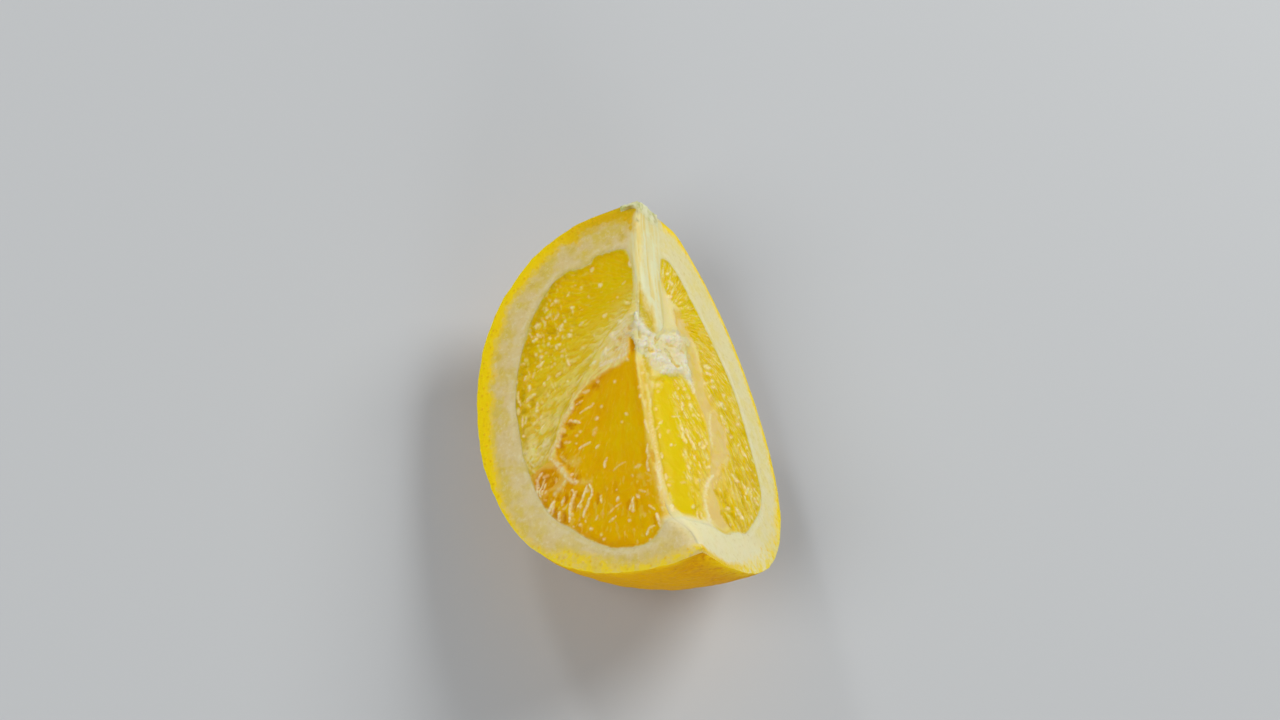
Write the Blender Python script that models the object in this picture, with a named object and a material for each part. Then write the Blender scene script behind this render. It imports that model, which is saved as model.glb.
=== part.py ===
"""A quarter wedge of a navel orange, lying on its rind with both cut faces up.

The fruit is modelled whole and then cut, as the real one is. It starts as a sphere whose
radius follows a rule of the angle from the stem, with a dimple under the stem button and a
small navel at the blossom end. Two knife cuts leave the wedge: the left one is flat, the
right one bows inward beside the ridge, so that the ridge leans to one side in the middle.
The pulp fields lie a little below the pith and the membranes between them, a hollow runs
along the core, and a small flat on the rind carries the wedge.

Fruit axes: +Y towards the stem, +Z away from the fruit along the middle of the wedge.
Lengths are in metres. The row frame's origin is at the bottom centre of the wedge's box.
"""

import math

import bmesh
import bpy
from mathutils import Matrix, Vector

MM = 0.001
CLEAN = 0.005  # edges shorter than this are closed up, mm

# ---- the fruit ----
WEDGE_ANGLE = math.radians(92.5)  # between the two cuts
LEFT_SIZE, LEFT_SHIFT, LEFT_OBLATE, LEFT_TAPER, LEFT_SHOULDER = 38.0, 0.0, -0.78, 0.06, -0.89
RIGHT_SIZE, RIGHT_SHIFT, RIGHT_OBLATE, RIGHT_TAPER, RIGHT_SHOULDER = 36.9, -1.60, 0.0, 1.74, -0.60
STEM_DIMPLE, STEM_DIMPLE_ANGLE = 2.7, 0.26  # mm deep, radians wide
NAVEL_DIMPLE, NAVEL_DIMPLE_ANGLE = 0.95, 0.09
MERIDIANS, PARALLELS = 64, 40  # facets of the whole fruit

# ---- the stem button ----
BUTTON_RADIUS, BUTTON_TOP_RADIUS = 5.6, 4.3
BUTTON_FOOT, BUTTON_TOP = 30.2, 34.3  # along the fruit's axis
BUTTON_LEAN = 1.7  # how far its middle lies towards the right cut
BUTTON_LOBES, BUTTON_LOBE_DEPTH = 5, 0.10

# ---- the knife cuts ----
RIDGE_BOW = 5.4  # the ridge's greatest shift along the left cut
BOW_FROM, BOW_RISE = 34.0, 30.0  # where the bow starts below the stem, and how long it grows
BOW_END, BOW_FALL = -34.5, 9.0  # where it is gone again at the blossom end, and how fast
DISH_WIDTH, DISH_POWER = 17.0, 1.5  # how far the right cut is hollowed from the ridge
KNIFE_REACH = 62.0
KERF = 0.12  # both cuts pass this far outside the fruit's axis

# ---- the cut faces' relief ----
# A cut face's coordinates are the distance from the axis along the cut and the height
# towards the stem.
PULP_DEPTH = 0.55  # pulp below pith and membranes
PEEL_LEFT, PEEL_LEFT_THIN = 7.8, 4.5  # peel with pith on the left cut, and at the blossom end
PEEL_RIGHT, PEEL_RIGHT_THIN = 9.8, 7.1  # the same on the right cut, from the stem down
SEPTUM_START, SEPTUM_MIDDLE, SEPTUM_END = (5.0, 11.0), (17.0, 2.6), (24.0, -9.5)
SEPTUM_WIDTH, SEPTUM_WIDTH_END = 3.2, 1.8  # the membrane between the left cut's segments
CORE_MARGIN, RIDGE_MARGIN = 3.8, 6.4  # from the axis to the pulp beside core and ridge
POCKET_FROM, POCKET_TO, POCKET_REACH = math.radians(109), math.radians(118), 4.6
STRIP_TOP, STRIP_FOOT, STRIP_EDGE = 2.0, -26.6, 1.3  # the inner strip on the right cut
STRIP_WIDE, STRIP_WAIST, STRIP_TAPER = 12.4, -8.0, 4.8
FLAP_EDGE, FLAP_BELLY, FLAP_AT, FLAP_SPAN = 14.4, 4.4, -7.5, 5.5  # the membrane beside it
CORE_HOLLOW = {"across": 1.9, "along": 14.2, "half_width": 1.05, "half_length": 4.6, "depth": 2.0}

# ---- how it rests ----
REST_PITCH, REST_ROLL = -5.9, 2.95  # degrees, which bring the weight over the flat
REST_FLOOR = -36.35  # the flat's height under the fruit's centre: it takes 0.5 mm off the rind
REST_SHIFT = (1.648, 1.152, 36.35)  # from the turned fruit's centre to the row frame, mm

ORANGE_PULP = (0.78, 0.40, 0.03, 1.0)

HALF = WEDGE_ANGLE / 2
LEFT = Vector((-math.sin(HALF), 0.0, -math.cos(HALF)))  # from the ridge along the left cut
RIGHT = Vector((math.sin(HALF), 0.0, -math.cos(HALF)))  # from the ridge along the right cut
STEM = Vector((0.0, 1.0, 0.0))


def smooth(x):
    x = min(1.0, max(0.0, x))
    return x * x * (3.0 - 2.0 * x)


def outline(theta, size, shift, oblate, taper, shoulder):
    """Radius of a cut face's outline at the angle theta from the stem, in mm."""
    rule = (size, shift, oblate, taper, shoulder)
    return sum(c * math.cos(k * theta) for k, c in enumerate(rule))


def fruit_radius(theta, phi):
    """Radius of the whole fruit: the left cut's outline turns into the right cut's."""
    turn = smooth((phi + HALF) / WEDGE_ANGLE)
    left = outline(theta, LEFT_SIZE, LEFT_SHIFT, LEFT_OBLATE, LEFT_TAPER, LEFT_SHOULDER)
    right = outline(theta, RIGHT_SIZE, RIGHT_SHIFT, RIGHT_OBLATE, RIGHT_TAPER, RIGHT_SHOULDER)
    r = left * (1.0 - turn) + right * turn
    r -= STEM_DIMPLE * math.exp(-((theta / STEM_DIMPLE_ANGLE) ** 2))
    r -= NAVEL_DIMPLE * math.exp(-(((math.pi - theta) / NAVEL_DIMPLE_ANGLE) ** 2))
    return r


def ridge_bow(v):
    """How far along the left cut the ridge lies from the fruit's axis, at the height v."""
    rise = min(1.0, max(0.0, (BOW_FROM - v) / BOW_RISE)) ** 0.9
    return RIDGE_BOW * rise * smooth((v - BOW_END) / BOW_FALL)


def right_cut(w, v):
    """The right cut's distance from the right plane, measured along the left one."""
    dish = min(1.0, max(0.0, 1.0 - w / DISH_WIDTH)) ** DISH_POWER
    return ridge_bow(v) * dish


def pith_edge(theta, right):
    """Where the pith ends and the pulp begins on a cut face, at the angle theta."""
    if right:
        rule = (RIGHT_SIZE, RIGHT_SHIFT, RIGHT_OBLATE, RIGHT_TAPER, RIGHT_SHOULDER)
        peel = PEEL_RIGHT + (PEEL_RIGHT_THIN - PEEL_RIGHT) * smooth((theta - 0.6) / 1.5)
    else:
        rule = (LEFT_SIZE, LEFT_SHIFT, LEFT_OBLATE, LEFT_TAPER, LEFT_SHOULDER)
        peel = PEEL_LEFT + (PEEL_LEFT_THIN - PEEL_LEFT) * smooth((theta - 1.95) / 0.85)
    r = outline(theta, *rule) - peel
    return r * math.sin(theta), r * math.cos(theta)


def along(first, last, count):
    """Evenly spaced values from first to last, both included."""
    return [first + (last - first) * k / (count - 1) for k in range(count)]


def septum(t, side):
    """A point on one side of the septum, from the core (t = 0) to the pith (t = 1)."""
    bend = [2 * m - (s + e) / 2 for s, m, e in zip(SEPTUM_START, SEPTUM_MIDDLE, SEPTUM_END)]
    point, slope = [], []
    for s, b, e in zip(SEPTUM_START, bend, SEPTUM_END):
        point.append(s * (1 - t) ** 2 + 2 * b * t * (1 - t) + e * t * t)
        slope.append(2 * (1 - t) * (b - s) + 2 * t * (e - b))
    half = (SEPTUM_WIDTH + (SEPTUM_WIDTH_END - SEPTUM_WIDTH) * t) / 2 * side
    size = math.hypot(*slope)
    return point[0] - slope[1] / size * half, point[1] + slope[0] / size * half


def upper_field():
    edge = [pith_edge(t, False) for t in along(math.radians(15), math.radians(104), 8)]
    edge += [septum(t, 1) for t in along(0.95, 0.12, 6)]
    return edge + [(CORE_MARGIN, v) for v in along(17.0, 23.0, 2)]


def lower_field():
    edge = [septum(t, -1) for t in along(0.1, 1.0, 6)]
    edge += [pith_edge(t, False) for t in along(math.radians(126), math.radians(163), 5)]
    return edge + [(RIDGE_MARGIN, v) for v in along(-27.0, 2.0, 5)]


def pocket_field():
    """The small end of a third segment, beside the pith."""
    outer = [pith_edge(t, False) for t in along(POCKET_FROM, POCKET_TO, 3)]
    inner = [(u - POCKET_REACH, v - 0.5) for u, v in reversed(outer)]
    return outer + inner[:2]


def strip_edge(v):
    return STRIP_WIDE - STRIP_TAPER * ((v - STRIP_WAIST) / (STRIP_WAIST - STRIP_FOOT)) ** 2


def inner_field():
    left = [(STRIP_EDGE, v) for v in along(STRIP_FOOT + 2.0, STRIP_TOP - 2.0, 5)]
    right = [(strip_edge(v), v) for v in along(STRIP_TOP - 1.2, STRIP_FOOT + 1.4, 6)]
    middle = (STRIP_EDGE + strip_edge(STRIP_TOP)) / 2
    return left + [(middle, STRIP_TOP)] + right + [(middle - 1.4, STRIP_FOOT)]


def flap_edge(v):
    """The outer edge of the pale membrane between the right cut's two pulp fields."""
    lean = 0.5 * max(0.0, v - 6.0)
    return FLAP_EDGE - lean + FLAP_BELLY * math.exp(-(((v - FLAP_AT) / FLAP_SPAN) ** 2))


def outer_field():
    edge = [pith_edge(t, True) for t in along(math.radians(20), math.radians(148), 9)]
    return edge + [(flap_edge(v), v) for v in along(-25.0, 20.5, 10)]


def place(u, w, v):
    """A point from its distances along the left cut, the right cut and the stem axis, in mm."""
    return (LEFT * u + RIGHT * w + STEM * v) * MM


def link(obj, collection):
    for old in list(obj.users_collection):
        old.objects.unlink(obj)
    collection.objects.link(obj)
    return obj


def helper(obj, collection):
    """A cutter or a joined shape, which isn't a part of its own."""
    link(obj, collection)
    obj.hide_render = True
    obj.display_type = "WIRE"
    return obj


def object_from(bm, name):
    """The closed body as an object, with its faces pointing out."""
    bmesh.ops.recalc_face_normals(bm, faces=bm.faces)
    if bm.calc_volume(signed=True) < 0:
        bmesh.ops.reverse_faces(bm, faces=bm.faces)
    mesh = bpy.data.meshes.new(name)
    bm.to_mesh(mesh)
    bm.free()
    obj = bpy.data.objects.new(name, mesh)
    bpy.context.scene.collection.objects.link(obj)
    return obj


def whole_fruit(name):
    bm = bmesh.new()
    bmesh.ops.create_uvsphere(bm, u_segments=MERIDIANS, v_segments=PARALLELS, radius=1.0)
    for vert in bm.verts:
        theta = math.acos(max(-1.0, min(1.0, vert.co.z)))
        around = math.atan2(vert.co.x, -vert.co.y)
        r = fruit_radius(theta, around) * MM
        flat = math.sin(theta) * r
        vert.co = Vector((flat * math.sin(around), math.cos(theta) * r, -flat * math.cos(around)))
    return object_from(bm, name)


def stem_button(name):
    bm = bmesh.new()
    bmesh.ops.create_cone(
        bm, cap_ends=True, segments=40, radius1=BUTTON_RADIUS * MM, radius2=BUTTON_TOP_RADIUS * MM,
        depth=(BUTTON_TOP - BUTTON_FOOT) * MM,
    )
    middle = (BUTTON_TOP + BUTTON_FOOT) / 2
    for vert in bm.verts:
        around = math.atan2(vert.co.y, vert.co.x)
        lobe = 1.0 + BUTTON_LOBE_DEPTH * math.cos(BUTTON_LOBES * around)
        x, y, z = vert.co.x * lobe, vert.co.y * lobe, vert.co.z
        vert.co = Vector((x, z + middle * MM, -y)) + RIGHT * BUTTON_LEAN * MM
    return object_from(bm, name)


def left_knife(name):
    """Everything on the outer side of the flat left cut."""
    out = STEM.cross(LEFT)
    if out.z < 0:
        out.negate()
    bm = bmesh.new()
    bmesh.ops.create_cube(bm, size=2 * KNIFE_REACH * MM)
    turn = Matrix((LEFT, STEM, out)).transposed().to_4x4()
    away = Matrix.Translation(out * (KNIFE_REACH + KERF) * MM)
    bmesh.ops.transform(bm, matrix=away @ turn, verts=bm.verts)
    return object_from(bm, name)


def right_knife(name, deeper=0.0):
    """Everything on the outer side of the bowed right cut, or of that cut set deeper."""
    columns, rows = 45, 49
    bm = bmesh.new()
    bmesh.ops.create_grid(bm, x_segments=columns, y_segments=rows, size=1.0)
    cut = list(bm.verts)
    for vert in cut:
        w, v = vert.co.x * KNIFE_REACH, vert.co.y * KNIFE_REACH
        vert.co = place(right_cut(w, v) + deeper - KERF, w, v)
    walls = bmesh.ops.extrude_face_region(bm, geom=bm.faces[:], use_keep_orig=True)
    for item in walls["geom"]:
        if isinstance(item, bmesh.types.BMVert):
            item.co -= LEFT * (KNIFE_REACH + LEFT.dot(item.co) / MM) * MM
    return object_from(bm, name)


def field_prism(name, points, low, high, axes):
    """A closed outline through the points, thick from low to high along the third axis."""
    curve = bpy.data.curves.new(name + "_outline", "CURVE")
    curve.dimensions = "2D"
    curve.fill_mode = "BOTH"
    curve.resolution_u = 3
    curve.extrude = (high - low) / 2 * MM
    spline = curve.splines.new("BEZIER")
    spline.bezier_points.add(len(points) - 1)
    spline.use_cyclic_u = True
    for knot, (x, y) in zip(spline.bezier_points, points):
        knot.co = (x * MM, y * MM, 0.0)
        knot.handle_left_type = knot.handle_right_type = "AUTO"
    outline_object = bpy.data.objects.new(name + "_outline", curve)
    bpy.context.scene.collection.objects.link(outline_object)
    bpy.context.view_layer.update()
    graph = bpy.context.evaluated_depsgraph_get()
    mesh = bpy.data.meshes.new_from_object(outline_object.evaluated_get(graph))
    bpy.data.objects.remove(outline_object)
    bm = bmesh.new()
    bm.from_mesh(mesh)
    bmesh.ops.remove_doubles(bm, verts=bm.verts, dist=0.00001)
    across, along, through = axes
    for vert in bm.verts:
        x, y, z = vert.co
        vert.co = across * x + along * y + through * (z + (low + high) / 2 * MM)
    return object_from(bm, name)


def boolean(obj, other, operation):
    mod = obj.modifiers.new(f"{operation.lower()}_{other.name}", "BOOLEAN")
    mod.operation = operation
    mod.solver = "EXACT"
    mod.object = other


def applied(obj):
    """The object with its modifiers made real, in clean triangles for the next cut."""
    bpy.context.view_layer.update()
    graph = bpy.context.evaluated_depsgraph_get()
    mesh = bpy.data.meshes.new_from_object(obj.evaluated_get(graph))
    obj.modifiers.clear()
    bm = bmesh.new()
    bm.from_mesh(mesh)
    bmesh.ops.dissolve_degenerate(bm, edges=bm.edges, dist=CLEAN * MM)
    bmesh.ops.triangulate(bm, faces=bm.faces)
    bm.to_mesh(mesh)
    bm.free()
    obj.data = mesh
    return obj


def cut(obj, other, operation="DIFFERENCE"):
    boolean(obj, other, operation)
    return applied(obj)


def core_hollow(name):
    """The open slit beside the core, sunk into the right cut next to the ridge."""
    bm = bmesh.new()
    bmesh.ops.create_uvsphere(bm, u_segments=20, v_segments=12, radius=1.0)
    w, v = CORE_HOLLOW["across"], CORE_HOLLOW["along"]
    surface = right_cut(w, v)
    for vert in bm.verts:
        x, y, z = vert.co
        vert.co = place(
            surface + z * CORE_HOLLOW["depth"],
            w + x * CORE_HOLLOW["half_width"] - y * 0.9,
            v + y * CORE_HOLLOW["half_length"],
        )
    return object_from(bm, name)


def floor_block(name):
    """What the small flat takes off the rind, in the row frame's directions."""
    bm = bmesh.new()
    bmesh.ops.create_cube(bm, size=2 * KNIFE_REACH * MM)
    drop = (REST_FLOOR - KNIFE_REACH) * MM
    bmesh.ops.translate(bm, vec=Vector((0.0, 0.0, drop)), verts=bm.verts)
    return object_from(bm, name)


def material(name, colour, roughness):
    mat = bpy.data.materials.new(name)
    mat.use_nodes = True
    shader = mat.node_tree.nodes["Principled BSDF"]
    shader.inputs["Base Color"].default_value = colour
    shader.inputs["Roughness"].default_value = roughness
    shader.inputs["Metallic"].default_value = 0.0
    return mat


def main():
    for obj in list(bpy.data.objects):
        bpy.data.objects.remove(obj, do_unlink=True)
    parts = bpy.data.collections.new("orange_segment")
    tools = bpy.data.collections.new("cutters")
    for collection in (parts, tools):
        bpy.context.scene.collection.children.link(collection)

    wedge = link(whole_fruit("orange_wedge"), parts)
    cut(wedge, helper(stem_button("stem_button"), tools), "UNION")
    cut(wedge, helper(left_knife("left_knife"), tools))
    cut(wedge, helper(right_knife("right_knife"), tools))

    into = STEM.cross(LEFT)
    if into.z > 0:
        into.negate()
    for field, points in (
        ("upper", upper_field()), ("lower", lower_field()), ("pocket", pocket_field())
    ):
        prism = field_prism("left_field_" + field, points, -6.0, PULP_DEPTH, (LEFT, STEM, into))
        cut(wedge, helper(prism, tools))
    deep_right = helper(right_knife("right_knife_deep", PULP_DEPTH), tools)
    for field, points in (("inner", inner_field()), ("outer", outer_field())):
        prism = field_prism("right_field_" + field, points, -9.0, 20.0, (RIGHT, STEM, LEFT))
        cut(helper(prism, tools), deep_right, "INTERSECT")
        cut(wedge, prism)
    cut(wedge, helper(core_hollow("core_hollow"), tools))

    turn = Matrix.Rotation(math.radians(REST_PITCH), 4, "X") @ Matrix.Rotation(
        math.radians(REST_ROLL), 4, "Y"
    )
    wedge.data.transform(turn)
    cut(wedge, helper(floor_block("floor_block"), tools))
    wedge.data.transform(Matrix.Translation(Vector(REST_SHIFT) * MM))

    wedge.data.materials.clear()
    wedge.data.materials.append(material("orange_pulp_and_rind", ORANGE_PULP, 0.35))
    wedge.data.shade_smooth()
    wedge.data.set_sharp_from_angle(angle=math.radians(32))


main()
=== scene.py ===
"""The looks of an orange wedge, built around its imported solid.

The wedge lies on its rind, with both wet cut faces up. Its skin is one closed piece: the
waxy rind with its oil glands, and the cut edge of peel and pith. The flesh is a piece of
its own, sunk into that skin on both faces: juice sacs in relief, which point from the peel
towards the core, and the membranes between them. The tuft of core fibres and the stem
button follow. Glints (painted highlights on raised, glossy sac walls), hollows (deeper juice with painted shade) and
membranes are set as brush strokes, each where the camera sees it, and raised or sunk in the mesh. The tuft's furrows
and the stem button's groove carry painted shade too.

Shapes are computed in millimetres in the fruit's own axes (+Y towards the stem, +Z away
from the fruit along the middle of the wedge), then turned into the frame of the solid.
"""

import math

import bmesh
import bpy
import numpy as np
from mathutils import Matrix, Vector
from mathutils.geometry import delaunay_2d_cdt

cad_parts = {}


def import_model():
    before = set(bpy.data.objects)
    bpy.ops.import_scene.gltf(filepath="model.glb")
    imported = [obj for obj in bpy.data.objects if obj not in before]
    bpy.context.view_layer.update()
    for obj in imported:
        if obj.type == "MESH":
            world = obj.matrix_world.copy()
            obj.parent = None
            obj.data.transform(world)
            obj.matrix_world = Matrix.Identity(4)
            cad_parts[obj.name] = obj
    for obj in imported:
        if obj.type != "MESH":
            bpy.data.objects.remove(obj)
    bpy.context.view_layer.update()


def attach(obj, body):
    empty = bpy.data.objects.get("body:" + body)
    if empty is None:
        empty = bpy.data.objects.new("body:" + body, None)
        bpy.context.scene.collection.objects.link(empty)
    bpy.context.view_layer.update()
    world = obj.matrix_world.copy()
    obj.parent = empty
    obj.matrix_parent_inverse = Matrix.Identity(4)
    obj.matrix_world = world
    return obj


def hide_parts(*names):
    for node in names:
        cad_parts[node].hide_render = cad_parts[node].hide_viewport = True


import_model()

# ------------------------------------------------------------------ the fruit's form
WEDGE_ANGLE = math.radians(92.5)
HALF = WEDGE_ANGLE / 2
LEFT_RULE = (38.0, 0.0, -0.78, 0.06, -0.89)  # outline radius: size, shift, oblateness, taper, shoulder
RIGHT_RULE = (36.9, -1.60, 0.0, 1.74, -0.60)
STEM_DIMPLE, STEM_DIMPLE_ANGLE = 2.7, 0.26
NAVEL_DIMPLE, NAVEL_DIMPLE_ANGLE = 0.95, 0.09
REST_PITCH, REST_ROLL = math.radians(-5.9), math.radians(2.95)
REST_SHIFT = np.array([1.648, 1.152, 36.35])
REST_FLOOR = -36.35  # the flat under the rind, in the turned fruit's axes

L = np.array([-math.sin(HALF), 0.0, -math.cos(HALF)])  # from the ridge along the left cut
R = np.array([math.sin(HALF), 0.0, -math.cos(HALF)])  # from the ridge along the right cut
A = np.array([0.0, 1.0, 0.0])  # towards the stem
N_LEFT = np.array([-math.cos(HALF), 0.0, math.sin(HALF)])  # out of the left cut

_cp, _sp, _cr, _sr = math.cos(REST_PITCH), math.sin(REST_PITCH), math.cos(REST_ROLL), math.sin(REST_ROLL)
TURN = np.array([[1, 0, 0], [0, _cp, -_sp], [0, _sp, _cp]]) @ np.array([[_cr, 0, _sr], [0, 1, 0], [-_sr, 0, _cr]])

# The ridge: how far along the left cut it lies from the axis, by height towards the stem.
RIDGE_V = np.array([-36.5, -35.4, -32.0, -29.7, -27.5, -24.8, -21.0, -10.0, 3.0, 7.2, 11.9, 15.6, 20.0, 24.0, 29.0, 33.0, 36.0])
RIDGE_U = np.array([0.0, 0.0, 0.76, 1.98, 4.19, 5.03, 5.36, 5.46, 5.27, 4.65, 3.53, 2.66, 2.16, 1.57, 0.74, 0.05, 0.0])
DISH_WIDTH, DISH_POWER = 17.0, 1.5


def world(p):
    """Fruit axes in millimetres to the frame of the solid in metres."""
    return (p @ TURN.T + REST_SHIFT) * 0.001


def smooth(x, low=0.0, high=1.0):
    x = np.clip((np.asarray(x, float) - low) / (high - low), 0.0, 1.0)
    return x * x * (3.0 - 2.0 * x)


def mix(a, b, t):
    return a * (1.0 - t) + b * t


def outline(theta, rule):
    return sum(c * np.cos(k * theta) for k, c in enumerate(rule))


def fruit_radius(theta, phi):
    turn = smooth((phi + HALF) / WEDGE_ANGLE)
    r = outline(theta, LEFT_RULE) * (1.0 - turn) + outline(theta, RIGHT_RULE) * turn
    r = r - STEM_DIMPLE * np.exp(-((theta / STEM_DIMPLE_ANGLE) ** 2))
    r = r + turn * (0.55 * np.exp(-(((theta - 0.40) / 0.11) ** 2)) - 0.65 * np.exp(-(((theta - 0.21) / 0.07) ** 2)))  # a shoulder beside the button
    return r - NAVEL_DIMPLE * np.exp(-(((math.pi - theta) / NAVEL_DIMPLE_ANGLE) ** 2))


def ridge_u(v):
    """Smooth reading of the ridge's place between its named heights."""
    v = np.asarray(v, float)
    total, weight = np.zeros_like(v), np.zeros_like(v)
    for step in np.linspace(-1.5, 1.5, 7):
        w = math.exp(-(step**2))
        total += w * np.interp(v + step, RIDGE_V, RIDGE_U)
        weight += w
    return total / weight


def right_offset(w, v):
    return ridge_u(v) * np.clip(1.0 - w / DISH_WIDTH, 0.0, 1.0) ** DISH_POWER


def right_base(w, v):
    return right_offset(w, v)[..., None] * L + w[..., None] * R + v[..., None] * A


def cut_normal(s, v):
    """Out of the cut surface: s is below zero on the left face, above it on the right one."""
    e, w = 0.05, np.maximum(s, 0.0)
    n = np.cross(right_base(w + e, v) - right_base(w, v), right_base(w, v + e) - right_base(w, v - e))
    n /= np.linalg.norm(n, axis=-1, keepdims=True)
    n = np.where(n[..., 2:3] < 0, -n, n)
    t = smooth(s, -0.8, 0.8)[..., None]
    n = N_LEFT * (1 - t) + n * t
    return n / np.linalg.norm(n, axis=-1, keepdims=True)


def on_left(u, v, h):
    return u[..., None] * L + v[..., None] * A + h[..., None] * cut_normal(ridge_u(v) - u, v)


def on_right(w, v, h):
    return right_base(w, v) + h[..., None] * cut_normal(w, v)


def on_cut(s, v, h):
    """A point of either face, s millimetres from the ridge, raised by h."""
    return np.where((s < 0)[..., None], on_left(ridge_u(v) - s, v, h), on_right(s, v, h))


def ridge_round(s, v):
    """How deep the faces sink where they meet: a fine edge, softer under the tuft and at the lower end."""
    low, tip = smooth(-v, 21.0, 26.0), smooth(v, 3.0, 7.0) * (1 - smooth(v, 13.0, 18.0))
    fine, broad = 0.36 * np.clip(1 - np.abs(s) / 1.0, 0, 1) ** 2, 1.10 * np.clip(1 - np.abs(s) / 2.4, 0, 1) ** 2
    return mix(fine, broad, np.maximum(low, 0.6 * tip))


def calm_zone(s, v):
    """Where the pith runs into the flesh without a step: at the core, and at the foot of the ridge."""
    core = smooth(s, -2.5, -0.5) * (1 - smooth(s, 7.0, 9.0)) * smooth(v, 4.0, 8.0) * (1 - smooth(v, 17.0, 22.0))
    foot = smooth(-v, 23.0, 26.0) * smooth(s, -5.0, -1.0) * (1 - smooth(s, 8.0, 11.0))
    return core, foot


# The camera's view in the fruit's axes: across, up and back from the picture of 1280 x 720.
_ACROSS, _BACK = np.array([0.946, -0.1604, 0.2818]), np.array([-0.3241, -0.4908, 0.8088])
BACK = _BACK / np.linalg.norm(_BACK)
ACROSS = _ACROSS - BACK * (_ACROSS @ BACK)
ACROSS /= np.linalg.norm(ACROSS)
UP = np.cross(BACK, ACROSS)
CAMERA_DISTANCE, FOCAL, CENTRE = 500.0, 2905.05, (668.16, 366.14)


def picture(p):
    """Where points in the fruit's axes come to lie in the camera's picture, in pixels."""
    depth = CAMERA_DISTANCE - p @ BACK
    return CENTRE[0] + FOCAL * (p @ ACROSS) / depth, CENTRE[1] - FOCAL * (p @ UP) / depth


# ------------------------------------------------------------------ noise and cells
def _hash(ix, iy, iz, seed):
    h = ix.astype(np.uint32) * np.uint32(0x8DA6B343)
    h ^= iy.astype(np.uint32) * np.uint32(0xD8163841)
    h ^= iz.astype(np.uint32) * np.uint32(0xCB1AB31F)
    h ^= np.uint32((seed * 0x9E3779B1) & 0xFFFFFFFF)
    h ^= h >> np.uint32(15)
    h *= np.uint32(0x2C1B3C6D)
    h ^= h >> np.uint32(12)
    h *= np.uint32(0x297A2D39)
    h ^= h >> np.uint32(15)
    return h


def noise(p, seed=0):
    """Gradient noise from -1 to 1 at points of two or three coordinates."""
    if p.shape[-1] == 2:
        p = np.concatenate([p, np.full(p.shape[:-1] + (1,), 0.37)], -1)
    cell = np.floor(p).astype(np.int64)
    f = p - cell
    w = f * f * f * (f * (f * 6.0 - 15.0) + 10.0)
    total = np.zeros(p.shape[:-1])
    for dx in (0, 1):
        for dy in (0, 1):
            for dz in (0, 1):
                h = _hash(cell[..., 0] + dx, cell[..., 1] + dy, cell[..., 2] + dz, seed)
                gx = (h & np.uint32(1023)) / 511.5 - 1.0
                gy = ((h >> np.uint32(10)) & np.uint32(1023)) / 511.5 - 1.0
                gz = ((h >> np.uint32(20)) & np.uint32(1023)) / 511.5 - 1.0
                dot = gx * (f[..., 0] - dx) + gy * (f[..., 1] - dy) + gz * (f[..., 2] - dz)
                share = (w[..., 0] if dx else 1 - w[..., 0]) * (w[..., 1] if dy else 1 - w[..., 1])
                total += share * (w[..., 2] if dz else 1 - w[..., 2]) * dot
    return np.clip(total * 1.5, -1.0, 1.0)


def fbm(p, octaves=4, seed=0, gain=0.5):
    total, size, norm = np.zeros(p.shape[:-1]), 1.0, 0.0
    for k in range(octaves):
        total += size * noise(p * (2.07**k), seed + 17 * k)
        norm += size
        size *= gain
    return total / norm


def cells(s, t, seed, jitter=0.85):
    """Voronoi cells of jittered seeds: nearest and next distance, offsets, three random numbers."""
    i, j = np.floor(s).astype(np.int64), np.floor(t).astype(np.int64)
    f1, f2 = np.full(s.shape, 9.0), np.full(s.shape, 9.0)
    ds, dt = np.zeros(s.shape), np.zeros(s.shape)
    r1, r2, r3 = np.zeros(s.shape), np.zeros(s.shape), np.zeros(s.shape)
    for di in (-1, 0, 1):
        for dj in (-1, 0, 1):
            h = _hash(i + di, j + dj, np.zeros_like(i), seed)
            a = (h & np.uint32(1023)) / 1023.0
            b = ((h >> np.uint32(10)) & np.uint32(1023)) / 1023.0
            c = ((h >> np.uint32(20)) & np.uint32(1023)) / 1023.0
            x = s - (i + di + 0.5 + jitter * (a - 0.5))
            y = t - (j + dj + 0.5 + jitter * (b - 0.5))
            d = np.hypot(x, y)
            near = d < f1
            f2 = np.where(near, f1, np.minimum(f2, d))
            f1 = np.where(near, d, f1)
            ds, dt = np.where(near, x, ds), np.where(near, y, dt)
            r1, r2, r3 = np.where(near, (a * 7.31 + b * 3.7) % 1.0, r1), np.where(near, (b * 9.17 + c) % 1.0, r2), np.where(near, c, r3)
    return f1, f2, ds, dt, r1, r2, r3


# ------------------------------------------------------------------ outlines on the cut faces
def curve(points, steps=8, closed=True):
    """A smooth line through the points."""
    p = np.array(points, float)
    n = len(p)
    out = []
    for k in range(n if closed else n - 1):
        if closed:
            a, b, c, d = p[k - 1], p[k], p[(k + 1) % n], p[(k + 2) % n]
        else:
            a, b, c, d = p[max(k - 1, 0)], p[k], p[k + 1], p[min(k + 2, n - 1)]
        for t in np.arange(steps) / steps:
            out.append(0.5 * (2 * b + (c - a) * t + (2 * a - 5 * b + 4 * c - d) * t**2 + (3 * b - a - 3 * c + d) * t**3))
    if not closed:
        out.append(p[-1])
    return np.array(out)


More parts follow.
